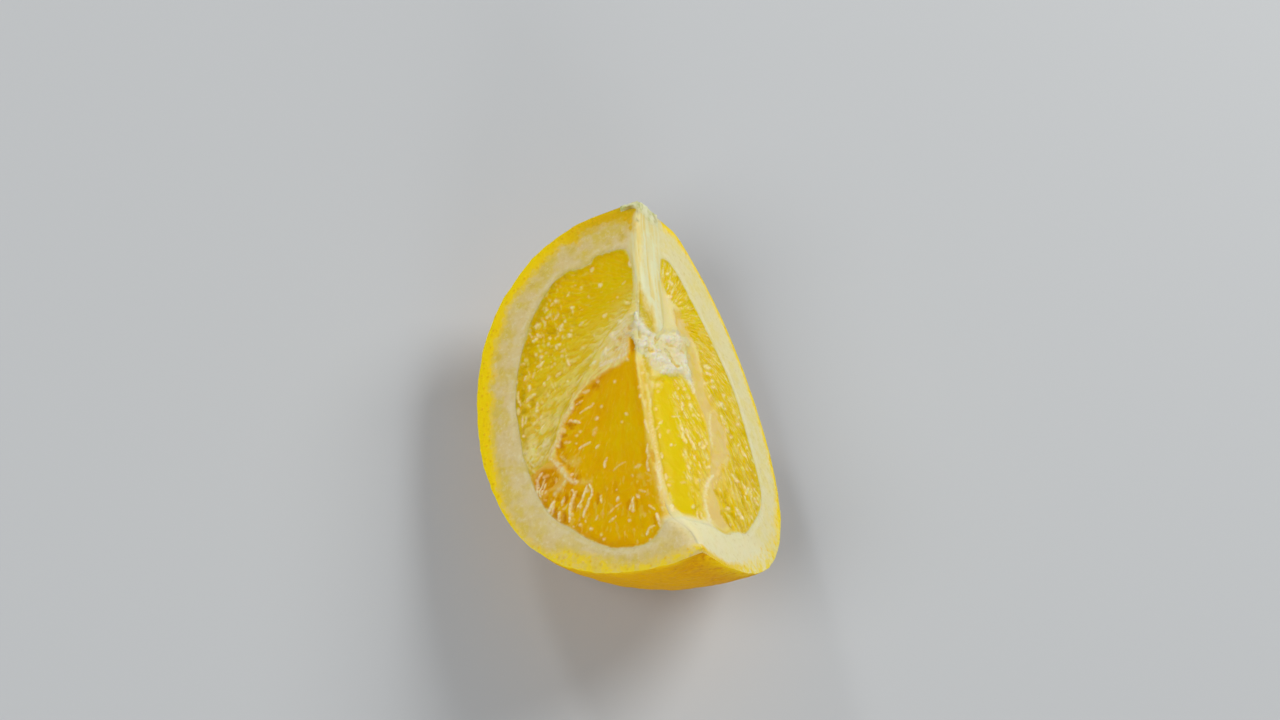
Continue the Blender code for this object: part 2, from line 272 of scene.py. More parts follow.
def line_distance(x, y, line, closed=False):
    """Distance from the points to a line, and how far along it the nearest place lies (0 to 1)."""
    shape = np.shape(x)
    x, y = np.ravel(x), np.ravel(y)
    a = line
    b = np.roll(line, -1, 0)
    if not closed:
        a, b = line[:-1], line[1:]
    d = b - a
    dd = np.maximum((d**2).sum(1), 1e-12)
    best, where = np.empty(len(x)), np.empty(len(x))
    for k in range(0, len(x), 4096):
        px, py = x[k : k + 4096, None], y[k : k + 4096, None]
        t = np.clip(((px - a[:, 0]) * d[:, 0] + (py - a[:, 1]) * d[:, 1]) / dd, 0, 1)
        q = (px - a[:, 0] - t * d[:, 0]) ** 2 + (py - a[:, 1] - t * d[:, 1]) ** 2
        m = q.argmin(1)
        rows = np.arange(len(m))
        best[k : k + 4096] = np.sqrt(q[rows, m])
        where[k : k + 4096] = (m + t[rows, m]) / len(a)
    return best.reshape(shape), where.reshape(shape)


def inside(x, y, poly):
    """Distance to a closed outline, positive inside it."""
    dist, _ = line_distance(x, y, poly, closed=True)
    fx, fy = np.ravel(x), np.ravel(y)
    a, b = poly, np.roll(poly, -1, 0)
    odd = np.zeros(len(fx), bool)
    for (ax, ay), (bx, by) in zip(a, b):
        if ay == by:
            continue
        hit = (ay > fy) != (by > fy)
        odd ^= hit & (fx < ax + (fy - ay) * (bx - ax) / (by - ay))
    return np.where(odd.reshape(np.shape(x)), dist, -dist)


# Left face, as (distance from the axis along the cut, height towards the stem) in millimetres.
PITH_LEFT = [(4.9, 26.3), (9.6, 26.9), (11.0, 26.0), (13.2, 25.8), (15.1, 26.2), (17.3, 25.8), (20.1, 24.1), (24.5, 19.1), (27.5, 13.1),
             (29.4, 7.1), (30.0, -0.3), (30.0, -6.3), (29.5, -9.0), (28.9, -12.8), (27.6, -17.0), (25.8, -20.3), (22.9, -23.3),
             (18.2, -27.9), (16.1, -29.4), (12.0, -30.7), (9.1, -30.8), (7.0, -29.7)]
SEPTUM_ABOVE = [(27.0, -9.0), (23.7, -5.8), (20.9, -0.9), (16.3, 3.9), (10.8, 9.8), (6.2, 13.0), (4.4, 14.8)]
SEPTUM_BELOW = [(5.2, 8.3), (6.3, 8.2), (6.9, 5.4), (9.0, 4.0), (11.3, 3.8), (16.1, 2.2), (20.9, -2.4), (23.4, -6.9), (23.5, -9.1), (21.7, -13.5)]
UPPER_PULP = curve(PITH_LEFT[:13] + SEPTUM_ABOVE + [(3.5, 17.0), (3.3, 22.7)])
LOWER_PULP = curve(SEPTUM_BELOW + [(23.9, -14.8), (26.2, -14.6)] + PITH_LEFT[14:] + [(5.9, -27.9), (5.7, -24.7), (6.1, -17.4), (6.0, -5.1), (5.8, 2.9)])
POCKET_PULP = curve([(24.5, -10.7), (26.7, -10.1), (28.1, -11.0), (28.6, -13.0), (26.7, -14.2), (23.8, -13.6), (23.4, -12.7)])

# Right face, in the same way.
PITH_RIGHT = [(6.9, 25.6), (9.2, 26.1), (12.0, 24.3), (15.6, 20.0), (20.2, 14.6), (24.1, 9.4), (26.8, 3.7), (28.8, -6.3), (29.4, -11.2),
              (29.2, -14.4), (27.3, -18.1), (22.7, -22.7), (18.7, -25.9), (15.0, -26.9)]
STRIP_PULP = curve([(3.3, 0.6), (5.7, 2.0), (8.5, 2.5), (10.8, -0.3), (12.5, -4.9), (12.7, -9.5), (11.5, -15.7), (9.0, -22.7), (7.8, -25.9),
                    (5.1, -26.8), (2.6, -26.6), (1.3, -24.5), (0.9, -19.0), (1.0, -12.0), (1.0, -7.0), (1.7, -3.0)])
OUTER_PULP = curve(PITH_RIGHT + [(12.9, -25.1), (11.9, -19.0), (14.1, -15.4), (17.9, -11.6), (19.2, -8.1), (18.8, -5.2), (15.1, -1.0),
                                 (14.7, 5.6), (13.3, 11.2), (10.9, 16.1), (9.1, 17.5), (6.9, 19.2), (6.2, 22.5)])
FLAP = curve([(8.9, 16.4), (11.8, 13.5), (14.0, 8.1), (14.8, 1.7), (16.8, -3.2), (18.9, -8.2), (17.5, -11.5), (13.7, -15.5), (11.4, -19.1),
              (11.8, -15.6), (13.1, -7.7), (12.2, -1.9), (10.4, 3.1), (10.4, 10.3), (9.0, 12.8)])
CURVED_LINE = curve([(14.2, -15.4), (10.9, -18.3), (9.8, -21.2), (9.4, -25.0), (10.4, -28.0)], closed=False)

# Both faces unrolled about the ridge, as (distance from the ridge, height): left below zero.
def unrolled(points):
    return [(float(ridge_u(v)) - u, v) for u, v in points]


FLESH = curve(unrolled([(4.3, 9.6), (3.4, 14.8), (3.0, 20.1), (3.5, 24.9)] + PITH_LEFT + [(5.4, -28.0)])
              + [(1.0, -27.3), (2.9, -27.6), (5.4, -27.5), (8.6, -27.5), (10.2, -28.2), (12.2, -28.3)] + PITH_RIGHT[::-1]
              + [(6.2, 24.0), (5.7, 20.0), (5.9, 13.0), (5.0, 10.4), (2.6, 8.4), (0.8, 8.2)])
NODE = curve([(-2.9, 8.8), (-2.5, 12.0), (-0.9, 14.2), (0.8, 13.6), (2.0, 11.6), (3.8, 10.4), (7.0, 11.9), (11.4, 12.8), (12.9, 10.1), (12.4, 6.2), (12.0, 1.6),
              (8.7, 1.7), (5.1, 1.0), (2.2, 1.4), (0.2, 4.1), (-1.6, 5.6)])
STRANDS = [curve(p, closed=False) for p in (
    [(3.6, 32.0), (3.9, 27.5), (4.0, 22.5), (4.4, 18.0), (5.0, 14.0), (6.0, 11.4)],
    [(5.3, 31.6), (5.4, 27.5), (5.3, 23.0), (5.5, 18.0)],
)]
SEPTUM = curve(SEPTUM_ABOVE[::-1], closed=False)


# ------------------------------------------------------------------ marks seen in the camera's picture
# Brush strokes on the cut faces, each (half width, strength, x, y, x, y, ...) in the picture's pixels.
GLINTS = [  # painted highlights, set as pale, glossy, raised sac walls: first segment
    (1.9, 0.8, 556.1, 301.0), (1.1, 0.6, 553.1, 302, 551, 305.6), (1.6, 0.9, 546.2, 309.2), (1.7, 0.9, 571.9, 307.7), (1.0, 0.5, 572.2, 309, 572.4, 312),
    (1.2, 0.65, 558.2, 314.3, 554.1, 319.4), (1.5, 0.45, 546, 317.9, 550.5, 314.3), (1.1, 0.8, 542.9, 320.4, 544.9, 322.4, 544.4, 326),
    (2.5, 0.8, 537, 325), (1.2, 0.6, 536.5, 326, 535.7, 328.5), (1.4, 0.75, 565, 321), (2.0, 0.8, 561.7, 324.5, 559.7, 330.1), (1.3, 0.5, 557.1, 328.6),
    (1.2, 0.5, 570.9, 330.1), (2.0, 0.9, 568.6, 335.2), (0.9, 0.7, 529.1, 332.7, 531.6, 337.2), (1.4, 0.8, 536.7, 333.7, 540.3, 336.7),
    (1.4, 0.7, 532.7, 341.3, 536.7, 338.8), (1.4, 0.65, 549.2, 337.8), (1.1, 0.45, 561.7, 335.2, 562.8, 339.3), (1.4, 0.75, 547.4, 345, 548.8, 342.8),
    (1.2, 0.75, 560.7, 343.9, 556.6, 345.9, 556.6, 349), (1.4, 0.4, 538, 345.9), (1.5, 0.4, 540.3, 351), (1.3, 0.9, 535.7, 354.6), (1.9, 0.95, 541.3, 356.6),
    (1.3, 0.5, 545.9, 353), (1.4, 0.45, 564.3, 349, 560.2, 351.5), (1.4, 0.65, 561.7, 355.6), (1.1, 0.5, 566.3, 355.6), (1.2, 0.85, 567.3, 360.2, 568.9, 364.8),
    (1.0, 0.45, 565.8, 360.7, 575.5, 360.7), (1.3, 0.8, 543.4, 361.2, 539.3, 365.8, 536.7, 366.3), (1.3, 0.5, 540.8, 368.9), (1.2, 0.4, 523.5, 363.8),
    (1.4, 0.5, 554, 363.8), (1.6, 0.35, 551, 366.3), (1.5, 0.8, 516.3, 382.6), (1.6, 0.85, 529.1, 385.1, 528.6, 390.7), (1.4, 0.75, 543.9, 382, 544.4, 385.6),
    (1.3, 0.75, 567.3, 381), (0.9, 0.85, 518.4, 391.7, 517.9, 398.4, 520.4, 405.5), (1.3, 0.8, 534.7, 393.8, 528.6, 398.4, 526, 402), (1.6, 0.75, 518.4, 408.6, 518.2, 414),
    (1.5, 0.65, 537.2, 403, 535.7, 410.6), (1.5, 0.9, 536.2, 410.6), (1.7, 0.35, 541.8, 402.4), (1.9, 0.4, 546.9, 394.8), (0.9, 0.75, 522.4, 416.7, 521.9, 426.9),
    (0.9, 0.7, 526, 416.7, 524.5, 423.4), (1.7, 0.85, 540.8, 416.7), (1.2, 0.6, 540, 417.5, 532.7, 424.9), (1.3, 0.7, 523.5, 435.6), (0.8, 0.8, 543.9, 424.9, 540.3, 430),
    (1.1, 0.85, 519.0, 439.6, 519.8, 443.2), (1.6, 0.5, 535.2, 442.2, 528.6, 445.3), (2.1, 0.5, 525.5, 451.4), (1.8, 0.4, 541, 449.5, 534, 455),
    (1.5, 0.8, 592, 268, 590.5, 271), (1.7, 0.8, 601, 284, 599, 286), (1.6, 0.85, 628.5, 262, 630.5, 266), (1.7, 0.75, 606, 314, 603, 316.5), (1.3, 0.55, 617, 297),
    (1.2, 0.5, 588, 296), (1.3, 0.55, 581, 287), (1.0, 0.5, 622, 284, 625, 281), (1.4, 0.5, 583, 322, 579, 325), (1.2, 0.45, 594, 335), (1.5, 0.6, 627.2, 302),
    (1.0, 0.4, 575, 285), (1.1, 0.45, 569, 292, 567, 296), (1.3, 0.4, 586, 345, 580, 349), (1.2, 0.5, 560, 372, 556, 376), (1.2, 0.5, 549, 376, 547, 380),
    (2.0, 0.75, 620.4, 321.5), (1.8, 0.6, 612.8, 333.5, 611.5, 337), (1.3, 0.85, 606.2, 348, 606, 355), (1.6, 0.6, 626.7, 302.7), (1.4, 0.7, 627, 359),
    (1.3, 0.45, 624, 345, 624, 352), (1.0, 0.55, 512.5, 372, 511.5, 378), (1.1, 0.6, 526, 376, 524.5, 380), (1.1, 0.5, 534, 372, 532.5, 377),
    # lower segment
    (1.4, 0.75, 597.1, 381.1), (1.5, 0.8, 614.6, 381.1), (1.6, 0.8, 639, 386.3), (1.7, 0.85, 639.8, 395.6), (1.5, 0.6, 588.5, 390.5, 583.5, 392.3),
    (0.8, 0.6, 582.1, 400.1, 575.8, 404.7), (1.1, 0.7, 592.5, 403), (0.9, 0.7, 591.9, 404.7, 586.7, 408.1, 579.3, 413.3), (1.2, 0.5, 600.8, 406.1),
    (1.3, 0.85, 572.1, 408.7), (1.3, 0.9, 570.1, 420.2, 579.3, 422.5), (1.8, 0.9, 563.5, 430.5), (1.5, 0.9, 596.5, 417.6), (1.3, 0.8, 626.1, 413.3),
    (1.1, 0.45, 621.2, 421.3), (1.9, 0.35, 595.4, 427.6, 593.1, 434.5), (1.2, 0.55, 579.9, 431.1), (1.4, 0.45, 576.4, 435.7), (1.3, 0.5, 564.5, 442.6, 570, 442),
    (1.1, 0.65, 575.8, 443.1), (1.1, 0.75, 589.6, 442, 582.7, 445.4, 578.7, 448.9), (1.1, 0.75, 598.2, 444.9, 595.4, 447.7), (1.6, 0.8, 558, 446),
    (1.1, 0.95, 586.5, 485.1, 584, 492.8, 580.9, 500.9, 577.3, 506.5), (1.1, 1.0, 588.6, 483.6, 591.1, 488.7, 591.1, 494.3, 588.1, 499.9, 587, 505, 584, 511.1, 583, 516.7),
    (1.9, 0.8, 586.5, 490.2), (1.2, 0.85, 580.4, 504.5, 580.2, 507.5), (1.0, 0.6, 577.9, 506), (1.3, 0.95, 571.7, 489.7, 573.8, 493.3, 571.7, 500.9, 570.2, 508.6, 569.2, 521.3),
    (1.0, 0.7, 576.3, 491.2, 574.3, 493.8), (2.0, 0.85, 571.2, 514.7), (1.2, 0.75, 564.1, 497.3, 562.6, 500.9, 561.5, 505),
    (1.7, 0.95, 553.9, 501.4, 549.8, 508.1, 547.2, 514.2, 549.3, 519.8), (1.0, 0.6, 553.9, 504, 551.3, 515.2), (1.5, 0.8, 559.5, 512.1, 559, 516.2, 559, 521.8),
    (1.2, 0.45, 563.6, 508.6), (1.2, 0.8, 600.8, 494.8, 599.8, 496.8, 601.3, 501.9), (1.2, 0.85, 606.4, 457.6, 604.4, 461.6, 603.9, 466.7),
    (0.9, 0.45, 613, 507.6, 609.5, 512.1), (0.9, 0.5, 597.2, 514.7, 595.2, 519.3), (1.0, 0.6, 614, 517.2, 610, 520.8), (1.4, 0.85, 571.7, 474.9), (1.1, 0.6, 574.5, 478.5, 575.8, 481.5),
    (1.6, 0.7, 579.9, 524.9), (1.7, 0.8, 590.6, 528.5), (1.0, 0.45, 585, 520.8), (1.1, 0.65, 573.3, 526.4), (1.6, 0.4, 562.6, 524.9),
    (0.9, 0.4, 624.7, 461.5, 618.6, 464.6, 613, 470.2), (1.5, 0.5, 640, 464.6, 634.9, 467.1), (1.2, 0.85, 646.6, 461, 647.1, 467.7, 648.7, 470.2), (1.4, 0.35, 631.8, 474.8),
    (1.1, 0.45, 616, 489.1), (0.9, 0.55, 639, 489.6, 645.1, 491.6), (1.4, 0.85, 617.6, 497, 616.8, 500.6), (1.3, 0.85, 636.4, 494.2, 638.5, 497.2),
    (1.1, 0.75, 633.4, 496.7, 630.8, 503.9, 628.8, 509), (1.0, 0.85, 632.3, 500.8, 632.9, 508), (1.5, 0.9, 632.3, 509.5), (0.7, 0.45, 620.1, 503.4, 614.5, 506.9, 608.9, 513.1),
    (1.0, 0.6, 615.5, 516.1, 608.9, 521.7), (1.5, 0.85, 629, 520.2), (1.0, 0.8, 648.7, 504.9, 654.3, 509), (1.5, 0.95, 656.3, 513.6, 658.4, 520.2, 660.4, 525.8),
    (1.1, 0.7, 653.8, 525.3, 649.2, 527.3), (1.1, 0.9, 648.7, 527.9, 646.1, 534.5), (1.4, 0.6, 600.7, 534.5), (1.5, 0.8, 603.8, 539), (1.5, 0.65, 650.2, 539),
    (1.2, 0.85, 644.5, 419.6, 646.3, 426.8, 648.5, 432.1), (1.3, 0.7, 647.6, 443.8, 646.7, 451.3, 648.5, 455.4, 646.7, 460.3), (1.4, 0.5, 642.5, 372.9),
    # curled walls of the small pocket
    (1.2, 0.9, 541.6, 472.9, 538.1, 478, 537, 482.6, 537.3, 490.7, 537, 500.9), (0.9, 0.85, 544.2, 479.5, 540.6, 487.7, 539.6, 493.8, 541.1, 497.3),
    (0.9, 0.8, 545.2, 483.6, 542.7, 490.7, 542.1, 494.8), (0.9, 0.6, 546.7, 490.7, 545.2, 493.8), (1.5, 0.75, 539.6, 502.5, 540.1, 507), (1.1, 0.6, 545.2, 499.9),
    (1.5, 0.45, 547.8, 474.9, 542.7, 477.4), (1.2, 0.35, 555.9, 478, 555.9, 483), (1.3, 0.6, 541.5, 508.5, 544.5, 514.5),
    # right face
    (1.7, 0.7, 667.9, 273.6), (1.8, 0.45, 675, 274.5), (1.6, 0.6, 669.2, 281.2, 672.8, 285.2), (1.4, 0.6, 671.9, 291.9), (1.8, 0.85, 666.4, 296.8, 671.6, 296.8),
    (1.3, 0.35, 682.1, 283.4), (1.4, 0.4, 680.8, 303), (1.3, 0.55, 688.8, 307.5), (1.2, 0.4, 664.5, 285.2), (1.4, 0.4, 687.5, 324.5), (1.3, 0.5, 676, 300.5),
    (1.6, 0.8, 705.2, 365.2, 710, 368.3), (1.5, 0.8, 706.5, 372.8, 711, 375), (1.4, 0.6, 704.5, 383.1, 708, 383.1), (1.8, 0.7, 712.2, 381), (2.0, 0.75, 712.8, 387.1),
    (1.5, 0.6, 710.7, 396.3), (1.8, 0.65, 723.5, 395.3), (2.1, 0.8, 718.9, 403.5, 721.9, 405.5), (1.1, 0.55, 725, 409), (1.3, 0.75, 720.4, 415.7, 724.5, 423.9),
    (1.7, 0.6, 725.5, 428, 728.5, 432), (1.6, 0.6, 731.6, 436.6), (1.7, 0.5, 738.3, 416.7), (1.8, 0.5, 737.8, 424.4), (1.7, 0.6, 739.3, 445.3), (1.3, 0.6, 746.9, 447.3),
    (1.3, 0.65, 742.3, 451.4, 745.9, 456.5), (1.4, 0.55, 731.6, 473.9, 739, 482.6), (1.5, 0.85, 748.2, 487.7, 746.5, 494), (1.0, 0.7, 750.5, 490.6, 751.7, 494),
    (1.6, 0.75, 727.6, 506.7, 729.9, 509), (1.6, 0.8, 735.6, 507.8, 739, 512.4, 743.6, 519.3), (0.9, 0.6, 754.5, 497.5, 759.1, 505.5), (1.6, 0.55, 657.9, 385),
    (1.3, 0.7, 678.4, 388), (1.6, 0.65, 684.6, 389.4), (1.0, 0.6, 675.3, 392, 678.8, 398.8), (1.2, 0.6, 687.3, 394.3, 690.4, 398.8), (1.5, 0.4, 658.3, 391.2),
    (1.6, 0.6, 655.6, 408.9), (1.3, 0.55, 662, 421, 659, 423.6), (1.1, 0.5, 659, 426, 656, 429.5), (1.1, 0.5, 660, 433.5, 660.2, 437.5), (1.6, 0.3, 668.6, 431.3),
    (1.3, 0.75, 671.3, 445.1), (1.3, 0.35, 674.8, 445.1), (1.3, 0.8, 661.4, 452.7, 662.3, 457.6), (1.2, 0.9, 686, 428.1, 690, 437.9, 695.8, 449.1),
    (1.1, 0.6, 680.2, 424.6, 683.3, 431.3, 682, 437.9), (1.4, 0.65, 682.9, 435.7, 686.4, 442.4), (1.4, 0.75, 689.6, 403.6, 691.8, 407.1), (1.3, 0.65, 682.9, 402.7, 682.4, 409.8),
    (1.4, 0.6, 693.6, 414.7), (2.0, 0.9, 703.8, 446.9), (2.0, 0.5, 702, 442.9), (1.4, 0.5, 683.8, 454.5), (1.3, 0.55, 694.9, 456.3), (1.4, 0.55, 704.7, 462), (1.7, 0.8, 708.8, 467.2),
    (1.3, 0.55, 687.8, 466, 690, 468.8), (0.8, 0.5, 672.1, 416.5, 680.2, 416.1), (1.5, 0.8, 665.8, 474.3, 666.5, 479.4), (1.7, 0.55, 668.7, 485.1), (1.5, 0.85, 671.8, 504.3, 674, 509.6),
    (1.3, 0.35, 681, 482.4, 685, 482.4), (1.8, 0.85, 693.2, 506.5), (1.4, 0.5, 690.5, 478.4), (2.0, 0.6, 698.6, 480.2), (1.0, 0.6, 697.2, 511.4, 698.6, 518.6), (1.0, 0.6, 700.8, 511.4, 703.5, 519),
]
SHADED_HOLLOWS = [  # deeper juice between the walls, darkened with painted shade
    (2.4, 0.6, 542.3, 313.8), (4.0, 0.55, 550, 330.6), (2.0, 0.7, 533, 331.6), (3.5, 0.6, 531.6, 347), (4.0, 0.6, 529.6, 357), (4.5, 0.55, 528.6, 364), (3.0, 0.35, 568, 312),
    (2.4, 0.9, 522.6, 391, 522.2, 400), (2.4, 0.7, 531.6, 402), (2.6, 0.8, 524.5, 411.6), (2.4, 0.6, 530, 419.8), (2.2, 0.6, 525, 440), (2.2, 0.5, 538.8, 391), (1.6, 0.7, 516.5, 400, 517, 424),
    (2.4, 1.0, 569.5, 425.6, 572.5, 427.5), (2.0, 0.9, 567.2, 424.6, 574.8, 424.4), (2.0, 0.6, 577.6, 404), (0.9, 0.8, 574.7, 401.8, 582.7, 396.6), (2.8, 0.6, 595.4, 386.3), (1.5, 0.8, 561.5, 436.3, 566.5, 434),
    (2.0, 0.7, 561, 443, 562, 449), (3.0, 0.9, 578.4, 494.8), (2.2, 0.85, 566.1, 494.8, 565.5, 503), (2.2, 0.7, 557.5, 499.9), (2.2, 1.0, 555.8, 509, 555.2, 517.5), (1.8, 0.8, 544.7, 506),
    (2.0, 0.7, 564.5, 512, 564, 521), (2.0, 0.7, 574.8, 501, 574, 511), (1.6, 0.6, 597.5, 494, 596.5, 503), (1.0, 0.7, 539.6, 484, 539, 496), (0.8, 0.7, 542.6, 484, 541, 491),
    (1.8, 0.5, 541.5, 481.5, 549, 477), (2.0, 0.5, 628.6, 500, 627, 508), (1.6, 0.5, 636.5, 500, 636, 508), (1.5, 0.5, 653.5, 516, 655, 524), (1.8, 0.5, 652, 450, 653.6, 461),
    (1.7, 0.55, 621, 338.5, 618, 340.8), (2.0, 0.45, 617.5, 348, 614, 349.5), (1.6, 0.45, 633, 328, 628.5, 329), (1.6, 0.5, 644.9, 392, 644.5, 398), (2.2, 0.5, 631.2, 339, 632.4, 350), (1.5, 0.5, 631.0, 326.3, 628.6, 329.4),
    # right face
    (3.2, 0.5, 677.5, 276, 684, 292), (2.8, 0.45, 675, 311, 682, 317), (2.5, 0.5, 688, 322, 693, 331), (3.0, 0.4, 690, 302, 695, 312), (2.0, 0.5, 700.5, 352, 704, 371),
    (2.6, 0.5, 716, 391, 713, 404), (2.2, 0.6, 722, 410.6, 727, 415), (1.6, 0.55, 730.1, 428.5, 733.2, 443.8), (4.0, 0.6, 743.4, 433.6), (3.0, 0.7, 734.4, 458.4, 740.2, 465.3),
    (2.6, 0.75, 750.5, 460.7, 755.1, 489.4), (1.8, 0.7, 737.3, 473.9, 741.3, 479.7), (1.9, 0.7, 744.8, 478, 747, 484.9), (1.6, 0.85, 734.4, 480.8, 740.2, 489.4, 743.6, 500.9, 747.6, 509.5, 751.7, 515.3),
    (1.9, 0.8, 753.4, 498.1, 757.4, 509.5), (1.9, 0.85, 714.9, 490.6, 720.7, 496.3, 723, 499.8, 732.1, 509.5), (1.7, 0.9, 720.7, 511.3, 727, 519.9, 732.1, 527.3),
    (1.8, 0.9, 724.1, 510.1, 734.4, 515.9, 740.2, 523.9, 744.8, 531.4), (1.5, 0.8, 741.3, 513, 745.9, 521, 747.6, 526.8), (1.5, 0.7, 750.5, 513, 752, 523), (2.2, 0.7, 728, 490, 724, 499),
    (1.2, 0.5, 683, 411, 685.5, 420), (1.1, 0.5, 697, 430, 703, 441), (1.2, 0.5, 688, 446, 692, 456), (1.4, 0.5, 707, 446, 705.5, 454), (1.2, 0.45, 694, 471, 699, 477),
    (2.7, 0.85, 644.8, 355, 646.5, 364, 650.5, 373), (2.4, 0.65, 651, 377.5, 657, 379.5, 664, 379.5), (1.4, 0.4, 644, 372, 646.5, 384), (1.3, 0.5, 693.5, 486, 700, 490), (1.6, 0.6, 698.5, 506.5), (1.0, 0.6, 695, 500, 696, 510), (1.0, 0.6, 699.5, 514, 701, 519), (1.0, 0.6, 686.6, 433, 692.5, 447), (1.4, 0.5, 690.5, 386, 692.5, 392),
]
VEILS = [  # soft pale membrane: a fifth number in front says how white it is
    (0.55, 2.0, 0.8, 574, 393, 571.6, 408.6, 566.8, 415.7, 561.6, 425.9, 559.4, 436.1, 557.6, 446.3), (0.85, 3.0, 0.9, 551.8, 459.6, 559.5, 466.7, 563.6, 471.8, 566.6, 478),
    (0.85, 2.0, 0.85, 566.6, 478, 573.8, 482, 577.3, 481.5), (0.5, 2.6, 0.35, 577.3, 481.5, 590.6, 481), (0.6, 2.0, 0.75, 566.6, 479, 561.5, 486.6, 556.9, 490.7, 553.9, 495.3),
    (0.2, 4.5, 0.45, 570.7, 462.7, 578, 460), (0.3, 3.0, 0.35, 640, 475.5), (0.4, 1.2, 0.35, 645, 472, 651, 476, 650, 480, 647, 480.5),
    (0.85, 2.9, 1.0, 658.2, 461, 659.0, 472, 659.6, 480.6, 659.8, 490), (0.6, 2.3, 0.8, 659.6, 489, 661, 500, 663, 509), (0.5, 1.5, 0.6, 662.9, 487, 663.5, 499), (0.4, 2.3, 0.75, 669.6, 494, 670.4, 502),
    (0.55, 2.0, 0.95, 649.6, 399, 649.9, 411, 650.2, 420, 651.8, 428, 653.0, 437, 655.4, 447, 657.6, 459), (0.4, 1.7, 0.8, 645.4, 384, 647.6, 392, 649.0, 400),
    (0.6, 1.6, 0.7, 645.8, 399, 645.8, 406), (0.35, 4.0, 0.6, 656.5, 386, 660, 383), (0.35, 3.0, 0.4, 676.6, 410.3), (0.5, 1.3, 0.7, 681, 379, 683.4, 386),
    (0.9, 2.6, 0.95, 684.6, 367.9, 688.2, 376.9, 691.3, 383.6, 693.6, 392.5), (0.7, 1.7, 0.6, 711.2, 411.2, 710.4, 422, 710.2, 431, 711.4, 440, 713.4, 447),
    (0.35, 1.5, 0.45, 707.7, 413, 707.7, 428), (0.85, 2.1, 0.9, 713.5, 475.5, 709.5, 479, 706.6, 487, 705.2, 495, 705.0, 503, 707.2, 513, 709.7, 520.8, 713.3, 528.5),
    (0.35, 2.4, 0.7, 711.5, 521, 716, 529, 721.8, 537), (0.45, 3.6, 0.5, 732, 489.4, 735, 498), (0.4, 3.2, 0.45, 732.7, 401.4), (0.4, 2.6, 0.4, 737.5, 420), (0.4, 3.0, 0.4, 735.5, 410),
    (0.5, 2.0, 0.55, 714.3, 410.6), (0.4, 2.6, 0.5, 692.3, 489.1), (0.5, 2.4, 0.45, 704, 452, 707, 459), (0.45, 2.2, 0.5, 663.5, 299, 668, 312), (0.6, 3.0, 0.6, 668, 318, 676, 330),
    (0.4, 2.0, 0.5, 688, 338, 697, 352, 701, 372), (0.5, 2.0, 0.5, 686, 298), (0.4, 2.2, 0.5, 694, 321), (0.4, 2.0, 0.5, 713, 352, 716, 362), (0.5, 1.3, 0.8, 633.2, 272, 634, 290, 632, 304),
    (0.3, 3.0, 0.5, 620, 312, 612, 326), (0.6, 2.0, 0.6, 624, 322, 618, 334, 612, 342), (0.6, 1.6, 0.65, 605, 345, 592, 354, 580, 365), (0.8, 2.4, 0.7, 628, 345, 622, 352),
    (0.75, 1.5, 0.9, 518.9, 445, 523, 452, 527.5, 459, 533, 466), (0.5, 1.6, 0.5, 560, 456, 566, 461),
    (0.95, 2.5, 0.95, 619, 320.5, 624, 325, 626.4, 329.5, 619, 333, 611.8, 335), (0.95, 2.3, 0.9, 610, 335, 617.3, 340.5, 611, 346, 606.4, 351.4, 601, 364), (0.95, 2.1, 0.9, 601, 366, 609, 362, 617.3, 358.6, 626.4, 353.2),
    (0.55, 1.8, 0.8, 637, 300, 637.5, 311), (0.6, 2.2, 0.7, 632, 314, 629, 320, 631, 327, 634, 334), (0.9, 1.6, 0.8, 626, 343, 621, 348, 616, 350), (0.9, 1.5, 0.7, 628, 318, 624, 322), (0.85, 1.4, 0.7, 596, 362, 590, 366),
    (0.7, 1.8, 0.7, 549, 441, 542, 449, 534, 457, 529, 465), (0.75, 1.5, 0.75, 557, 440, 552, 451, 549, 461), (0.6, 1.7, 0.6, 537, 440, 531, 449), (0.85, 1.5, 0.8, 517.5, 441, 521, 454, 529, 467, 536, 473),
    (0.6, 1.6, 0.55, 545, 455, 540, 465), (0.8, 1.3, 0.6, 604, 340, 598, 346), (0.9, 1.6, 0.8, 627, 331, 625, 337), (0.8, 2.4, 0.5, 586, 372, 578, 381), (0.7, 1.4, 0.6, 607, 357, 613, 352),
]
CORE_STRANDS = [  # greenish white fibres of the core, down from the stem
    (3.0, 0.6, 645.0, 232, 644.2, 246, 643.4, 260, 642.9, 274.5), (2.8, 0.65, 654, 224, 654.6, 240, 655.6, 258, 658.5, 280), (3.0, 1.0, 642.9, 274.5, 644.2, 283.4, 648.2, 296.8), (2.6, 1.0, 648.2, 296.8, 654.5, 305.7, 657.1, 319.1),
    (2.2, 0.9, 657.1, 319.1, 660.7, 328, 663.4, 334.7), (1.4, 0.5, 652, 262, 653, 283, 658, 300), (1.2, 0.4, 656, 300, 660, 314),
]
CORE_GROOVES = [  # deep orange hollow beside the ridge, sunk, and darkened with painted shade
    (1.5, 0.6, 639.6, 281, 639.6, 291), (3.8, 1.0, 640.6, 292, 642.0, 302, 645.0, 312), (4.2, 1.0, 645.0, 311, 647.6, 318, 650.6, 326), (2.4, 0.7, 650.5, 325, 653.2, 331),
]
# tan marks beside the core's strands, partly painted shade, and a painted shadow under the stem button's rim
CORE_TANS_AND_SHADE = [(3.4, 0.75, 651.0, 309, 652.3, 320, 655.6, 333), (1.0, 0.45, 639.2, 226, 639.4, 250, 640.0, 278), (1.5, 0.3, 648, 238, 648, 262), (1.4, 1.0, 628.6, 210.6, 632.5, 208.9, 635.8, 207.0)]
